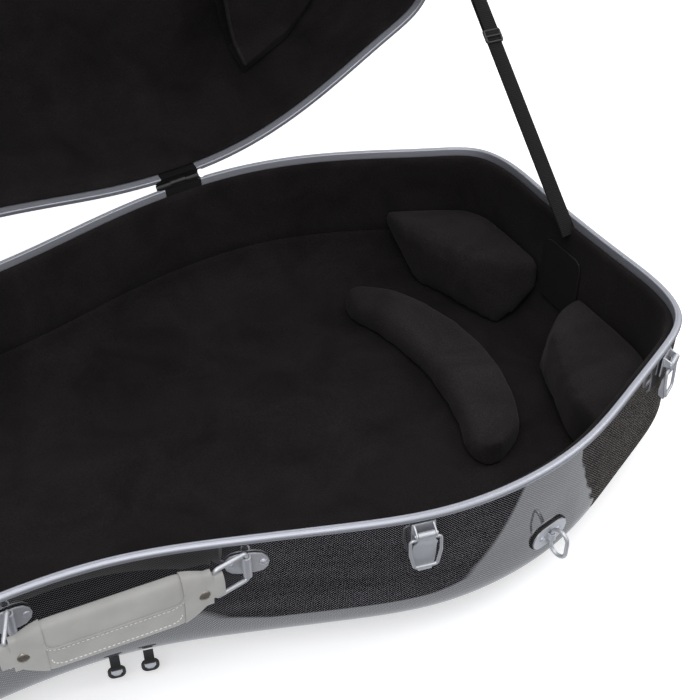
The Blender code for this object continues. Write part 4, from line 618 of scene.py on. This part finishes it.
def lid_lining_skins():
    """Back and face of the lid's lining from the rim to the panel. A stitched seam, 1.5 mm deep, runs
    round where the wall turns, and the face ripples as the base's does."""
    back_in, back_drop = wall_rows("lid", LINING_SEAT, 8.6 * MM, 16, 18)
    face_in, face_drop = wall_rows("lid", LINING_SEAT + LID_LINING, 8.6 * MM, 16, 18)
    rows = np.arange(len(face_in))[:, None]
    fade = np.clip(rows / 4, 0, 1) * np.clip((len(face_in) - 1 - rows) / 8, 0, 1)
    face_in += ripple(outline[:, 0], outline[:, 1] + 0.3, face_drop) * fade
    face_in -= 1.5 * MM * np.exp(-((rows - 15) / 0.7) ** 2)
    return [rings_of(np.vstack([all_round(head_in), insets]), np.vstack([all_round(head_drop), drops]),
                     "lid") for head_in, head_drop, insets, drops in (
                ([6.5, 6.5, 6.5], [7.2, 7.7, 8.3], back_in, back_drop),
                ([7.2, 8.6, 9.9], [6.4, 5.8, 6.5], face_in, face_drop))]


for piece, half, solid in (
        (hoop("base_wall_velour", *lining_band(), "base", wall_velour), "base", "base_wall_lining"),
        (tray("base_floor_velour", floor_skins(), "base", wall_velour), "base", "base_floor_lining"),
        (tray("lid_velour", lid_lining_skins(), "lid", wall_velour), "lid", "lid_lining")):
    hand_over(piece, half, solid)

# ---- Pads -------------------------------------------------------------------------------------------
# Firm foam blocks covered in the same velour, whose colours are drawn lighter here as painted light on
# the raised pads: two tail blocks in the corners, the curved floor pad, two shoulder pads and the neck's
# cradle. The cloth is drawn tight, so their edges are softly round.
FOAM_VOXEL, FOAM_SWELL = 4.5 * MM, 1.5 * MM
CRESCENT_INNER, CRESCENT_OUTER, CRESCENT_CENTRES = 235 * MM, 300 * MM, 789 * MM


def round_ends(points):
    """The floor pad's points with its square ends made half round: past 95 mm from its middle they draw
    in by a sine to 125 mm, and the width about its middle line shrinks as on an ellipse."""
    span = points[:, 1] - (points[:, 1].min() + points[:, 1].max()) / 2
    far = np.sin(np.clip((np.abs(span) - 95 * MM) / (55 * MM), 0, 1) * np.pi / 2)
    closer = np.where(far > 0, np.sign(span) * (95 + 30 * far) * MM, span)

    def middle_line(y):
        arcs = np.sqrt(CRESCENT_INNER ** 2 - y ** 2) + np.sqrt(CRESCENT_OUTER ** 2 - y ** 2)
        return (arcs - CRESCENT_CENTRES) / 2 + CASE_SHIFT[0]

    made = points.copy()
    made[:, 0] = middle_line(closer) + (points[:, 0] - middle_line(span)) * np.sqrt(1 - (0.97 * far) ** 2)
    made[:, 1] += closer - span
    return made


def welded(name, node, finish, join_flats=False):
    """A copy of a solid whose triangles share their corners, and form flat faces again if asked."""
    mesh = nodes[node].data.copy()
    shape = bmesh.new()
    shape.from_mesh(mesh)
    bmesh.ops.remove_doubles(shape, verts=shape.verts, dist=1e-5)
    bmesh.ops.recalc_face_normals(shape, faces=shape.faces)
    if join_flats:
        bmesh.ops.dissolve_limit(shape, angle_limit=np.radians(1), verts=shape.verts, edges=shape.edges)
    shape.to_mesh(mesh)
    shape.free()
    mesh.materials.clear()
    mesh.materials.append(finish)
    made = bpy.data.objects.new(name, mesh)
    bpy.context.scene.collection.objects.link(made)
    return made


def foam_block(node, rounding):
    """A copy of the solid, remeshed, its edges rounded by averaging each point with its neighbours, then
    swollen by cloth pressure, with every point held within FOAM_SWELL of where it was."""
    made = welded(f"{node}_velour", node, lit_pad_velour)
    made.modifiers.new("even", "REMESH").voxel_size = FOAM_VOXEL
    soften = made.modifiers.new("soften", "SMOOTH")
    soften.factor = 0.5
    soften.iterations = rounding
    bpy.context.view_layer.update()
    mesh = bpy.data.meshes.new_from_object(made.evaluated_get(bpy.context.evaluated_depsgraph_get()))
    made.modifiers.clear()
    made.data = mesh
    rest = read_out(mesh.vertices, "co", 3)
    if node == "crescent_pad":
        rest = round_ends(rest)
        mesh.vertices.foreach_set("co", rest.ravel())
    stuffing = made.modifiers.new("stuffing", "CLOTH")
    stuffing.settings.use_pressure = True
    stuffing.settings.uniform_pressure_force = 3.0
    stuffing.settings.effector_weights.gravity = 0.0
    for step in range(1, 13):
        bpy.context.scene.frame_set(step)
    swollen = made.evaluated_get(bpy.context.evaluated_depsgraph_get()).data
    moved = read_out(swollen.vertices, "co", 3) - rest
    far = np.linalg.norm(moved, axis=1)[:, None]
    rest = rest + moved * np.minimum(1, FOAM_SWELL / np.maximum(far, 1e-9))
    made.modifiers.clear()
    bpy.context.scene.frame_set(1)
    mesh.vertices.foreach_set("co", rest.ravel())
    mesh.shade_smooth()
    finer = made.modifiers.new("finer", "SUBSURF")
    finer.levels = finer.render_levels = 1
    hand_over(made, "base", node)


for node in ("crescent_pad", "tail_block_hinge_side", "tail_block_latch_side", "shoulder_pad_hinge_side",
             "shoulder_pad_latch_side", "neck_cradle"):
    foam_block(node, rounding=4 if node == "neck_cradle" else 5)

# ---- End pin patch ----------------------------------------------------------------------------------
# A rounded piece of smooth black leather glued to the tail wall's lining, where the end pin would rub.


def leather(name, shades, pebbles, clouds, detail, relief, **finish):
    """Grained leather: the cells of a Voronoi pattern, `pebbles` to the metre, stand up as its grain, and
    its colour drifts between two shades in soft clouds."""
    made, tree, surface, where = new_material(name)
    grain = add_node(tree, "ShaderNodeTexVoronoi", {"Vector": where}, Scale=pebbles)
    drift = add_node(tree, "ShaderNodeTexNoise", {"Vector": where}, Scale=clouds, Detail=detail)
    tone = add_node(tree, "ShaderNodeMix", {"Factor": drift.outputs[0]}, data_type="RGBA",
                    i6=linear(shades[0]), i7=linear(shades[1]))
    pebble = add_node(tree, "ShaderNodeBump", {"Height": grain.outputs["Distance"]}, Strength=relief[0],
                      Distance=relief[1])
    hide = add_node(tree, "ShaderNodeBsdfPrincipled",
                    {"Base Color": tone.outputs[2], "Normal": pebble.outputs[0]}, **finish)
    tree.links.new(hide.outputs[0], surface)
    return made


def finer_copy(name, node, finish, edge, smooth_angle=38):
    """A copy of a solid with its flat faces joined again and its edges rounded by a small bevel."""
    made = welded(name, node, finish, join_flats=True)
    made.data.shade_smooth()
    made.data.set_sharp_from_angle(angle=np.radians(smooth_angle))
    round_edges = made.modifiers.new("round_edges", "BEVEL")
    round_edges.width = edge
    round_edges.segments = 2
    round_edges.limit_method = "ANGLE"
    round_edges.angle_limit = np.radians(35)
    round_edges.harden_normals = False
    hand_over(made, nodes[node]["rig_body"], node)
    return made


# Smooth black leather: fine pebbled grain about 1 mm across under a low polish.
black_leather = leather("black_leather", ("#141213", "#1d1a1b"), 950.0, 60.0, 3.0, (0.3, 0.3 * MM),
                        Roughness=0.62, Specular_IOR_Level=0.25)
patch = finer_copy("endpin_patch_leather", "endpin_patch", black_leather, 0.5 * MM)

# ---- Feet and gaskets -------------------------------------------------------------------------------
# Moulded black rubber feet screwed under the back, and die-cut rubber gaskets under the ring plates.


def grained(name, shades, grain, rough, relief=None, **finish):
    """A finish with one fine noise in it, which drifts between two shades and two roughnesses and, with
    a relief (strength, height), stands up from the surface."""
    made, tree, surface, where = new_material(name)
    fine = add_node(tree, "ShaderNodeTexNoise", {"Vector": where}, **grain)
    tone = add_node(tree, "ShaderNodeMix", {"Factor": fine.outputs[0]}, data_type="RGBA",
                    i6=linear(shades[0]), i7=linear(shades[1]))
    gloss = add_node(tree, "ShaderNodeMapRange", {"Value": fine.outputs[0]}, From_Min=0.3, From_Max=0.7,
                     To_Min=rough[0], To_Max=rough[1])
    links = {"Base Color": tone.outputs[2], "Roughness": gloss.outputs[0]}
    if relief:
        bump = add_node(tree, "ShaderNodeBump", {"Height": fine.outputs[0]}, Strength=relief[0],
                        Distance=relief[1])
        links["Normal"] = bump.outputs[0]
    skin = add_node(tree, "ShaderNodeBsdfPrincipled", links, **finish)
    tree.links.new(skin.outputs[0], surface)
    return made


def dressed(node, finish):
    """Puts a better material in all the slots of a solid that stays in view."""
    mesh = nodes[node].data
    for slot in range(len(mesh.materials)):
        mesh.materials[slot] = finish


# Moulded rubber: matt charcoal with a fine grained skin, 0.7 mm from grain to grain.
moulded_rubber = grained("moulded_black_rubber", ("#0d0d0d", "#1b1b1b"), {"Scale": 1400.0, "Detail": 2.0},
                         (0.75, 0.75), (0.25, 0.2 * MM))
for number in (1, 2, 3, 4):
    dressed(f"rubber_foot_{number}", moulded_rubber)
for end in ("tail", "neck"):
    dressed(f"{end}_ring_gasket", moulded_rubber)

# ---- Hinges -----------------------------------------------------------------------------------------
# Black nylon saddles clipped over the shell edges, with moulded knuckles on a steel pin. Each saddle's
# inner lip comes over the rim and grips its inner flange.


def ringed(name, rings, finish, across=None, down=None, closed=False):
    """A piece from rings of equally many points: quads between neighbours, and a flat face over both ends
    unless the last ring joins the first. UV takes its u from `across`, one value a column and one for
    the seam, and its v from `down`, one value a row."""
    rows, columns = rings.shape[:2]
    quads, r, c = grid_quads(rows, columns, wrap_rows=closed)
    faces = quads.tolist()
    uv = None if across is None else np.stack([across[c], down[r]], axis=-1).reshape(-1, 2)
    if not closed:
        faces += [list(range(columns)), list(range((rows - 1) * columns, rows * columns))]
        uv = None if across is None else np.vstack([uv, np.zeros((2 * columns, 2))])
    return mesh_piece(name, rings.reshape(-1, 3), faces, finish, uv)


# Moulded nylon: deep black with a soft satin skin from the mould, a little uneven in gloss.
nylon = grained("moulded_black_nylon", ("#060607", "#0f0f10"), {"Scale": 700.0, "Detail": 3.0},
                (0.374, 0.446))

# Satin steel: nickel plated and barrel finished, bright along its edges, with fine random scratches.
satin_steel = grained("satin_nickel_plated_steel", ("#b4b6bc", "#c6c8ce"),
                      {"Scale": 420.0, "Detail": 5.0, "Roughness": 0.7}, (0.36, 0.46), (0.03, 0.1 * MM),
                      Metallic=0.6)
for label in ("lower", "upper"):
    for leaf in ("base_leaf", "lid_leaf"):
        name = f"{label}_hinge_{leaf}"
        finer_copy(f"{name}_moulded", name, nylon, 0.4 * MM)
    dressed(f"{label}_hinge_pin", satin_steel)
for number, (half, rings) in enumerate(hinge_lips):
    hand_over(ringed(f"hinge_lip_{half}_{number}", rings.transpose(1, 0, 2), nylon), half)

# ---- Latches ----------------------------------------------------------------------------------------
# Draw latches of pressed satin steel: a back plate with two ears, a lever rolled round a pin between
# them, and a sprung wire bail that hooks on the lid's plate.


def pipe(name, path, radius, finish, closed=False, sides=14):
    """A round wire along a path: at each point a circle square to the mean of its two directions,
    turned by the least from the one before."""
    path = np.asarray(path, float)
    run = np.roll(path, -1, axis=0) - np.roll(path, 1, axis=0) if closed else np.gradient(path, axis=0)
    run = unit(run)
    turn = np.linspace(0, 2 * np.pi, sides, endpoint=False)[:, None]
    normal = np.cross(run[0], [0.31, 0.17, 0.93])
    rings = []
    for point, direction in zip(path, run):
        normal = unit(normal - direction * (normal @ direction))
        side = np.cross(direction, normal)
        rings.append(point + radius * (np.cos(turn) * normal + np.sin(turn) * side))
    return ringed(name, np.array(rings), finish, np.arange(sides + 1) * 2 * np.pi * radius / sides,
                  steps_along(np.vstack([path, path[:1]])), closed)


def rounded(corners, radius, steps, closed=False):
    """Straight runs between corners, each corner turned with an arc of the radius in so many steps."""
    corners = [np.array(corner, float) for corner in corners]
    path = []
    for k, corner in enumerate(corners):
        if not closed and k in (0, len(corners) - 1):
            path.append(corner)
            continue
        before, after = unit(corners[k - 1] - corner), unit(corners[(k + 1) % len(corners)] - corner)
        half = np.arccos(np.clip(before @ after, -1, 1)) / 2
        centre = corner + unit(before + after) * radius / np.sin(half)
        start = corner + before * radius / np.tan(half) - centre
        end = corner + after * radius / np.tan(half) - centre
        sweep = np.arccos(np.clip(start @ end / radius ** 2, -1, 1))
        for t in np.linspace(0, 1, steps + 1):
            path.append(centre + (start * np.sin((1 - t) * sweep) + end * np.sin(t * sweep)) / np.sin(sweep))
    return np.array(path)


def frame_of(place, x, z):
    """Axes x, y = z cross x, and z at a place, as a function that carries local points there."""
    x, z = unit(np.array(x, float)), np.array(z, float)
    z = unit(z - x * (z @ x))
    axes = np.array([x, np.cross(z, x), z])
    return lambda points: np.asarray(points, float) @ axes + np.array(place)


for number in (1, 2, 3, 4):
    for part, edge in (("bracket", 0.35), ("lever", 0.4), ("keeper", 0.35)):
        name = f"latch_{number}_{part}"
        finer_copy(f"{name}_steel", name, satin_steel, edge * MM)
    joint = joints[f"latch_{number}_bail_turn"]
    to_case = frame_of(joint["pos_m"], joint["axis"], (0, 0, 1))
    leg = [(4.05, 0, 0), (10.8, 0, 0), (10.8, 0, -12.7), (8, 0, -25.35)]
    corners = np.array(leg + [(-x, y, z) for x, y, z in leg[::-1]]) * MM
    bail = pipe(f"latch_{number}_bail_wire", to_case(rounded(corners, 2.4 * MM, 6)), 1.2 * MM, satin_steel)
    hand_over(bail, f"latch_{number}_bail_body", f"latch_{number}_bail")

# ---- Handle -----------------------------------------------------------------------------------------
# A grip of pale grey leather: a stuffed roll wrapped in a folded sleeve with a skirt below it, piped
# and stitched in white, on two wire loops in riveted saddle plates. A domed rivet closes each end.
LOOP_LENGTH, LOOP_HIGH, LEFT_LOOP_LEAN = 24.5 * MM, 13.1 * MM, np.radians(79)
up = np.array(joints["handle_right_turn"]["axis"])
hung = np.array(joints["grip_turn"]["pos_m"])
right_at, left_at = [np.array(joints[f"handle_{side}_turn"]["pos_m"]) for side in ("right", "left")]
along_plates = unit(left_at - right_at)
left_reach = np.cos(LEFT_LOOP_LEAN) * along_plates + np.sin(LEFT_LOOP_LEAN) * np.cross(up, along_plates)
far_end = left_at + LOOP_LENGTH * left_reach
for label, place, reach in (("right", right_at, hung - right_at), ("left", left_at, left_reach)):
    to_case = frame_of(place, reach, up)
    corners = [(0, 0, -LOOP_HIGH), (LOOP_LENGTH, 0, -LOOP_HIGH), (LOOP_LENGTH, 0, LOOP_HIGH),
               (0, 0, LOOP_HIGH)]
    loop = pipe(f"handle_loop_{label}_wire", to_case(rounded(corners, 2.8 * MM, 6, True)), 1.6 * MM,
                satin_steel, True)
    hand_over(loop, f"loop_{label}", f"handle_loop_{label}")
    finer_copy(f"handle_plate_{label}_steel", f"handle_plate_{label}", satin_steel, 0.3 * MM)

# Grey calf leather: pale warm grey with a fine pebbled grain about 0.8 mm across, a little darker in
# soft clouds from handling.
grey_leather = leather("grey_calf_leather", ("#8b8a88", "#a3a29f"), 1150.0, 45.0, 4.0, (0.22, 0.2 * MM),
                       Roughness=0.55)

# Waxed thread: white, round, with a soft gloss.
white_thread = grained("white_waxed_thread", ("#c9c9c7", "#efefed"), {"Scale": 3000.0}, (0.6, 0.6))

grip_length = np.linalg.norm(far_end - hung)
grip_case = frame_of(hung, far_end - hung, up)
GRIP_END = 5.5 * MM


def grip_surface(s, a, sleeve=0.0):
    """The grip's outside at a place s along it and an angle a round it (0 faces away from the case, a
    quarter turn is the top). Its half height and thickness swell from the end tabs to the middle; the
    top half is a round roll that stands 2 mm proud of the skirt below it, with a crease between. With
    a sleeve thickness it is the surface of a wrap over the whole of this, without the end tabs."""
    end = np.minimum(s, grip_length - s) + GRIP_END
    body = np.clip((end - 12.5 * MM) / (22 * MM), 0, 1)
    swell = np.sin(np.pi / 2 * body)
    tab = 1.0 if np.any(sleeve) else 1 / (1 + np.exp(-(end - 13.2 * MM) / (0.5 * MM)))
    half = (10.9 + (4.4 + 8.5 * swell) * tab) * MM + sleeve
    thick = (4.7 + 3.5 * swell) * MM + sleeve
    middle = (-1.5 - 0.5 * swell) * MM * tab
    shift = 1.5 * MM * swell
    side = np.sign(np.cos(a)) * np.abs(np.cos(a)) ** 0.75
    rise = np.sign(np.sin(a)) * np.abs(np.sin(a)) ** 0.85
    taper = 0.68 + 0.32 * np.sin(a) * tab + 0.32 * (1 - tab)
    crease = 0.9 * MM * np.exp(-((rise - 0.02) / 0.10) ** 2) * np.clip(np.cos(a), 0, 1) * body
    return np.stack([s + 0 * a, shift + (thick * taper - crease) * side, middle + half * rise], axis=-1)


round_angles = np.linspace(0, 2 * np.pi, 72, endpoint=False)


def end_rows(s, shares):
    """The grip's end row drawn in to shares of its size, so that the end is rounded."""
    ring = grip_surface(s, round_angles)
    middle = ring.mean(axis=0)
    return [middle + (ring - middle) * share for share in shares]


places = np.linspace(-5.0 * MM, grip_length + 5.0 * MM, 150)[:, None]
rings = np.array([*end_rows(-GRIP_END, (0.02, 0.55, 0.88)), *grip_surface(places, round_angles),
                  *end_rows(grip_length + GRIP_END, (0.88, 0.55, 0.02))])
grip = ringed("handle_grip_leather", grip_case(rings), grey_leather)
hand_over(grip, "grip", "handle_grip")

SLEEVE_LENGTH, SLEEVE_THICK, SLEEVE_EDGE = 20.6 * MM, 1.1 * MM, 0.4 * MM
for label, first in (("right", 2.4 * MM), ("left", grip_length - 23.0 * MM)):
    places = first + np.concatenate([[0, 0.01 * MM], np.linspace(0.5 * MM, SLEEVE_LENGTH - 0.5 * MM, 24),
                                     [SLEEVE_LENGTH - 0.01 * MM, SLEEVE_LENGTH]])
    thickness = np.full(len(places), SLEEVE_THICK)
    thickness[[0, -1]] = SLEEVE_EDGE
    wrap = grip_surface(places[:, None], round_angles, thickness[:, None])
    sleeve = ringed(f"handle_grip_{label}_sleeve", grip_case(wrap), grey_leather)
    hand_over(sleeve, "grip")


def grip_line(start, stop, lift, height, count):
    """A line on the grip's outer face at a height in mm over its middle, turned up at both ends."""
    s = np.linspace(start, stop, count)
    bow = np.clip(np.minimum(s - start, stop - s) / (9 * MM), 0, 1)
    rise = (height + 9.0 * (1 - np.sqrt(1 - (1 - bow) ** 2))) * MM
    grid = grip_surface(s[:, None], np.linspace(-np.pi / 2, np.pi / 2, 181))
    pick = np.abs(grid[:, :, 2] - rise[:, None]).argmin(axis=1)
    return grid[np.arange(count), pick] + [0, lift, 0]


def thread_run(name, path, stitch=2.0 * MM, gap=1.1 * MM, radius=0.35 * MM):
    """A row of stitches in one mesh: short bars along a path on the grip, each of four six-sided rings,
    with the end rings smaller and sunk into the leather."""
    length = steps_along(path)
    marks = np.arange(gap, length[-1] - stitch, stitch + gap)[:, None] + stitch * np.array([0, 0.2, 0.8, 1])
    spots = np.stack([np.interp(marks, length, path[:, k]) for k in range(3)], axis=-1)
    run = unit(spots[:, -1] - spots[:, 0])
    side = unit(np.cross(run, [0, 1, 0]))
    face = np.cross(side, run)[:, None, None]
    turn = np.linspace(0, 2 * np.pi, 6, endpoint=False)[:, None]
    circle = np.cos(turn) * side[:, None, None] + np.sin(turn) * face
    size = np.array([0.4, 1, 1, 0.4])[:, None, None]
    proud = np.array([-0.1, 0.2, 0.2, -0.1])[:, None, None]
    points = (spots[:, :, None] + radius * (proud * face + size * circle)).reshape(-1, 3)
    faces = []
    for start in range(0, len(points), 24):
        faces += grid_quads(4, 6, start)[0].tolist()
        faces += [list(range(start, start + 6)), list(range(start + 18, start + 24))]
    hand_over(mesh_piece(name, grip_case(points), faces, white_thread), "grip")


piping_path = grip_line(22 * MM, grip_length - 22 * MM, 0.1 * MM, 0.6, 90)
piping = pipe("handle_grip_piping", grip_case(piping_path), 1.0 * MM, grey_leather)
hand_over(piping, "grip")
thread_run("handle_grip_upper_stitches", grip_line(22 * MM, grip_length - 22 * MM, 0.0, -2.4, 140))
thread_run("handle_grip_lower_stitches", grip_line(25 * MM, grip_length - 25 * MM, 0.0, -19.4, 120))

# Polished nickel rivet heads: their colour is a painted reflection of the room, dark brown-grey.
reflection_tinted_nickel = grained("polished_nickel_painted_reflection", ("#7d776e", "#979087"), {"Scale": 260.0, "Detail": 2.0},
                      (0.256, 0.304), Metallic=0.7)
RIVET_IN, RIVET_LOW = 9 * MM, 1.5 * MM
rivet_profile = np.array([(4.3, 0.0), (4.2, 0.7), (3.8, 1.3), (2.8, 1.7), (1.4, 1.95), (0.02, 2.0)]) * MM
for label, s in (("right", RIVET_IN), ("left", grip_length - RIVET_IN)):
    turn = np.linspace(0, 2 * np.pi, 28, endpoint=False)
    radius, height = rivet_profile[:, :1], rivet_profile[:, 1:]
    seat = grip_surface(s, 0.0, SLEEVE_THICK)[1] - 0.4 * MM
    dome = np.stack([s + radius * np.cos(turn), seat + height + 0 * turn,
                     radius * np.sin(turn) - RIVET_LOW], axis=-1)
    rivet = ringed(f"handle_rivet_{label}_head", grip_case(dome), reflection_tinted_nickel)
    hand_over(rivet, "grip", f"handle_rivet_{label}")

# ---- Strap rings ------------------------------------------------------------------------------------
# Oval wire rings for the carrying straps, each held by a riveted saddle plate on its rubber gasket.
for label in ("tail", "neck"):
    finer_copy(f"{label}_ring_plate_steel", f"{label}_ring_plate", satin_steel, 0.3 * MM)
    joint = joints[f"{label}_ring_turn"]
    axis = np.array(joint["axis"])
    to_case = frame_of(joint["pos_m"], np.cross([axis[0], axis[1], 0], [0, 0, 1]), axis)
    corners = np.array([(0, 0, 10.0), (0, 0, -14.0), (0, 14.0, -14.0), (0, 14.0, 10.0)]) * MM
    ring = pipe(f"{label}_oval_ring_wire", to_case(rounded(corners, 6.99 * MM, 10, True)), 1.5 * MM,
                satin_steel, True)
    hand_over(ring, f"{label}_ring", f"{label}_oval_ring")

# ---- Webbing ----------------------------------------------------------------------------------------
# Woven black polyester webbing: the stay strap that stops the lid, with a slide to set its length,
# and two short tabs low on the latch side that hold small rings.

# Webbing: cross ribs 1.6 mm apart over lengthwise yarns 1.1 mm apart, matt, with smooth selvedges.
webbing, tree, surface, where = new_material("black_polyester_webbing", along_surface=True)
split = add_node(tree, "ShaderNodeSeparateXYZ", {0: where})
rib, yarn = [add_node(tree, "ShaderNodeMath", operation="SINE", links={
    0: add_node(tree, "ShaderNodeMath", {0: split.outputs[axis]}, operation="MULTIPLY",
                i1=2 * np.pi / apart).outputs[0]}) for axis, apart in ((1, 1.6 * MM), (0, 1.1 * MM))]
woven = add_node(tree, "ShaderNodeMath", {0: yarn.outputs[0], 2: rib.outputs[0]},
                 operation="MULTIPLY_ADD", i1=0.4)
rib_mask = add_node(tree, "ShaderNodeMapRange", {"Value": woven.outputs[0]}, From_Min=-1.2, From_Max=1.2)
tone = add_node(tree, "ShaderNodeMix", {"Factor": rib_mask.outputs[0]}, data_type="RGBA",
                i6=linear("#060606"), i7=linear("#1a181a"))
rib_bump = add_node(tree, "ShaderNodeBump", {"Height": rib_mask.outputs[0]}, Strength=0.8,
                    Distance=0.5 * MM)
web = add_node(tree, "ShaderNodeBsdfPrincipled",
               {"Base Color": tone.outputs[2], "Normal": rib_bump.outputs[0]}, Roughness=0.85,
               Specular_IOR_Level=0.2)
tree.links.new(web.outputs[0], surface)

STRAP_WIDTH, SLIDE_SHARE = 20 * MM, 0.52
foot = placed(np.array([-16.488, 4, -6]) * MM, "base")
top = placed(np.array([-14.683, 4, 9]) * MM, "lid")
run = unit(top - foot)
across = unit(np.array([1.0, 0, 0]) - run * run[0])
lean = np.cross(run, across)


def strap_at(share):
    """Places and width directions of the webbing at shares of its length: the width lies nearly along
    the case from the base up, and turns into the lid's tail wall near the top."""
    share = np.asarray(share)[..., None]
    turn = np.radians(np.interp(share, [0, 0.50, 0.80, 0.92, 1], [24, 26, 30, 58, 90]))
    return foot + (top - foot) * share, across * np.cos(turn) + lean * np.sin(turn)


def webbing_strip(name, centres, widths, outs, thickness):
    """A flat strip: at each centre a section with rounded selvedges, across its width direction."""
    section = np.array([(-1, -0.35), (-0.96, -0.5), (0.96, -0.5), (1, -0.35), (1, 0.35), (0.96, 0.5),
                        (-0.96, 0.5), (-1, 0.35)])
    rings = (centres[:, None] + section[:, :1] * STRAP_WIDTH / 2 * widths[:, None]
             + section[:, 1:] * thickness * outs[:, None])
    return ringed(name, rings, webbing, np.array([0, 0.02, 0.98, 1, 1, 0.98, 0.02, 0, 0]) * STRAP_WIDTH,
                  steps_along(centres))


shares = np.linspace(0, 1, 70)
places, turned = strap_at(shares)
centres = np.vstack([foot - run * 4 * MM, foot - run * 1 * MM, places[1:]])
widths = np.vstack([turned[:1], turned[:1], turned[1:]])
runs = unit(np.gradient(centres, axis=0))
widths = unit(widths - runs * np.sum(widths * runs, axis=1)[:, None])
outs = np.cross(widths, runs)
strap = webbing_strip("stay_strap_webbing", centres, widths, outs, 1.6 * MM)
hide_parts("stay_strap")
past_slide = 1 + int(np.argmax(shares > SLIDE_SHARE))
doubled = slice(past_slide, past_slide + 12)
fold = webbing_strip("stay_strap_folded_end", centres[doubled] + outs[doubled] * 1.5 * MM, widths[doubled],
                     outs[doubled], 1.2 * MM)
slide_at, slide_wide = strap_at(SLIDE_SHARE)
slide_out = np.cross(slide_wide, run)
slide_frame = np.array([slide_wide, run, slide_out]) * MM
corners = [(-11.3, -5.2, 1), (11.3, -5.2, 1), (11.3, 5.2, 1), (-11.3, 5.2, 1)]
slide = pipe("stay_strap_slide", rounded(corners, 1.6, 5, True) @ slide_frame + slide_at, 1.25 * MM, nylon,
             True)
bar = pipe("stay_strap_slide_bar", np.array([(-11, 0, 1.2), (0, 0, 1.2), (11, 0, 1.2)]) @ slide_frame
           + slide_at, 1.1 * MM, nylon)
for piece, slot in ((strap, "black_webbing"), (fold, "black_webbing"), (slide, "black_plastic"),
                    (bar, "black_plastic")):
    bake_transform(piece)

for number in (1, 2):
    finer_copy(f"side_tab_{number}_webbing", f"side_tab_{number}", nylon, 0.4 * MM)
    joint = joints[f"tab_{number}_ring_turn"]
    to_case = frame_of(joint["pos_m"], joint["axis"], (0, 0, 1))
    corners = np.array([(-5.1, 0, 0), (5.1, 0, 0), (5.1, 0, -9), (-5.1, 0, -9)]) * MM
    ring = pipe(f"side_tab_{number}_ring_wire", to_case(rounded(corners, 3.4 * MM, 7, True)), 1.3 * MM,
                nylon, True)
    hand_over(ring, f"tab_{number}_ring", f"side_tab_{number}_ring")
    # A steel disc fills each ring's opening, standing in for the table seen through it in the case's shadow:
    # painted shadow.
    turn = np.linspace(0, 2 * np.pi, 24, endpoint=False)
    radius, height = np.array([(3.6, -0.5), (3.6, 0.5), (2.9, 0.8), (0.05, 0.8)]).T[:, :, None]
    disc = np.stack([radius * np.cos(turn), height + 0 * turn, radius * np.sin(turn) - 4.6], axis=-1) * MM
    shade_disc = ringed(f"side_tab_{number}_button", to_case(disc), satin_steel)
    hand_over(shade_disc, f"tab_{number}_ring")

# ---- Accessory pocket -------------------------------------------------------------------------------
# A velour pouch sewn into the lid's corner by the tail, open towards the neck. Its mouth's free edge,
# given in mm in the plan, is piped.
pouch = finer_copy("accessory_pocket_velour", "accessory_pocket", wall_velour, 0.7 * MM, 80)
mouth = np.array([[-172, 61, 112], [-172, 89, 103], [-172, 118, 96], [-172, 146, 93], [-172, 168, 89],
                  [-172, 185, 82], [-172, 199, 63]]) * MM
t = np.linspace(0, len(mouth) - 1, 60)
edge_path = np.stack([np.interp(t, np.arange(len(mouth)), mouth[:, k]) for k in range(3)], axis=-1)
for _ in range(6):
    edge_path[1:-1] = (edge_path[:-2] + 2 * edge_path[1:-1] + edge_path[2:]) / 4
# The piping takes the lighter pad velour: painted light along its raised edge.
mouth_piping = pipe("accessory_pocket_piping", placed(edge_path, "lid"), 1.8 * MM, lit_pad_velour)
hand_over(mouth_piping, "lid")

# ---- View -------------------------------------------------------------------------------------------
bpy.context.scene.view_settings.view_transform = "Standard"
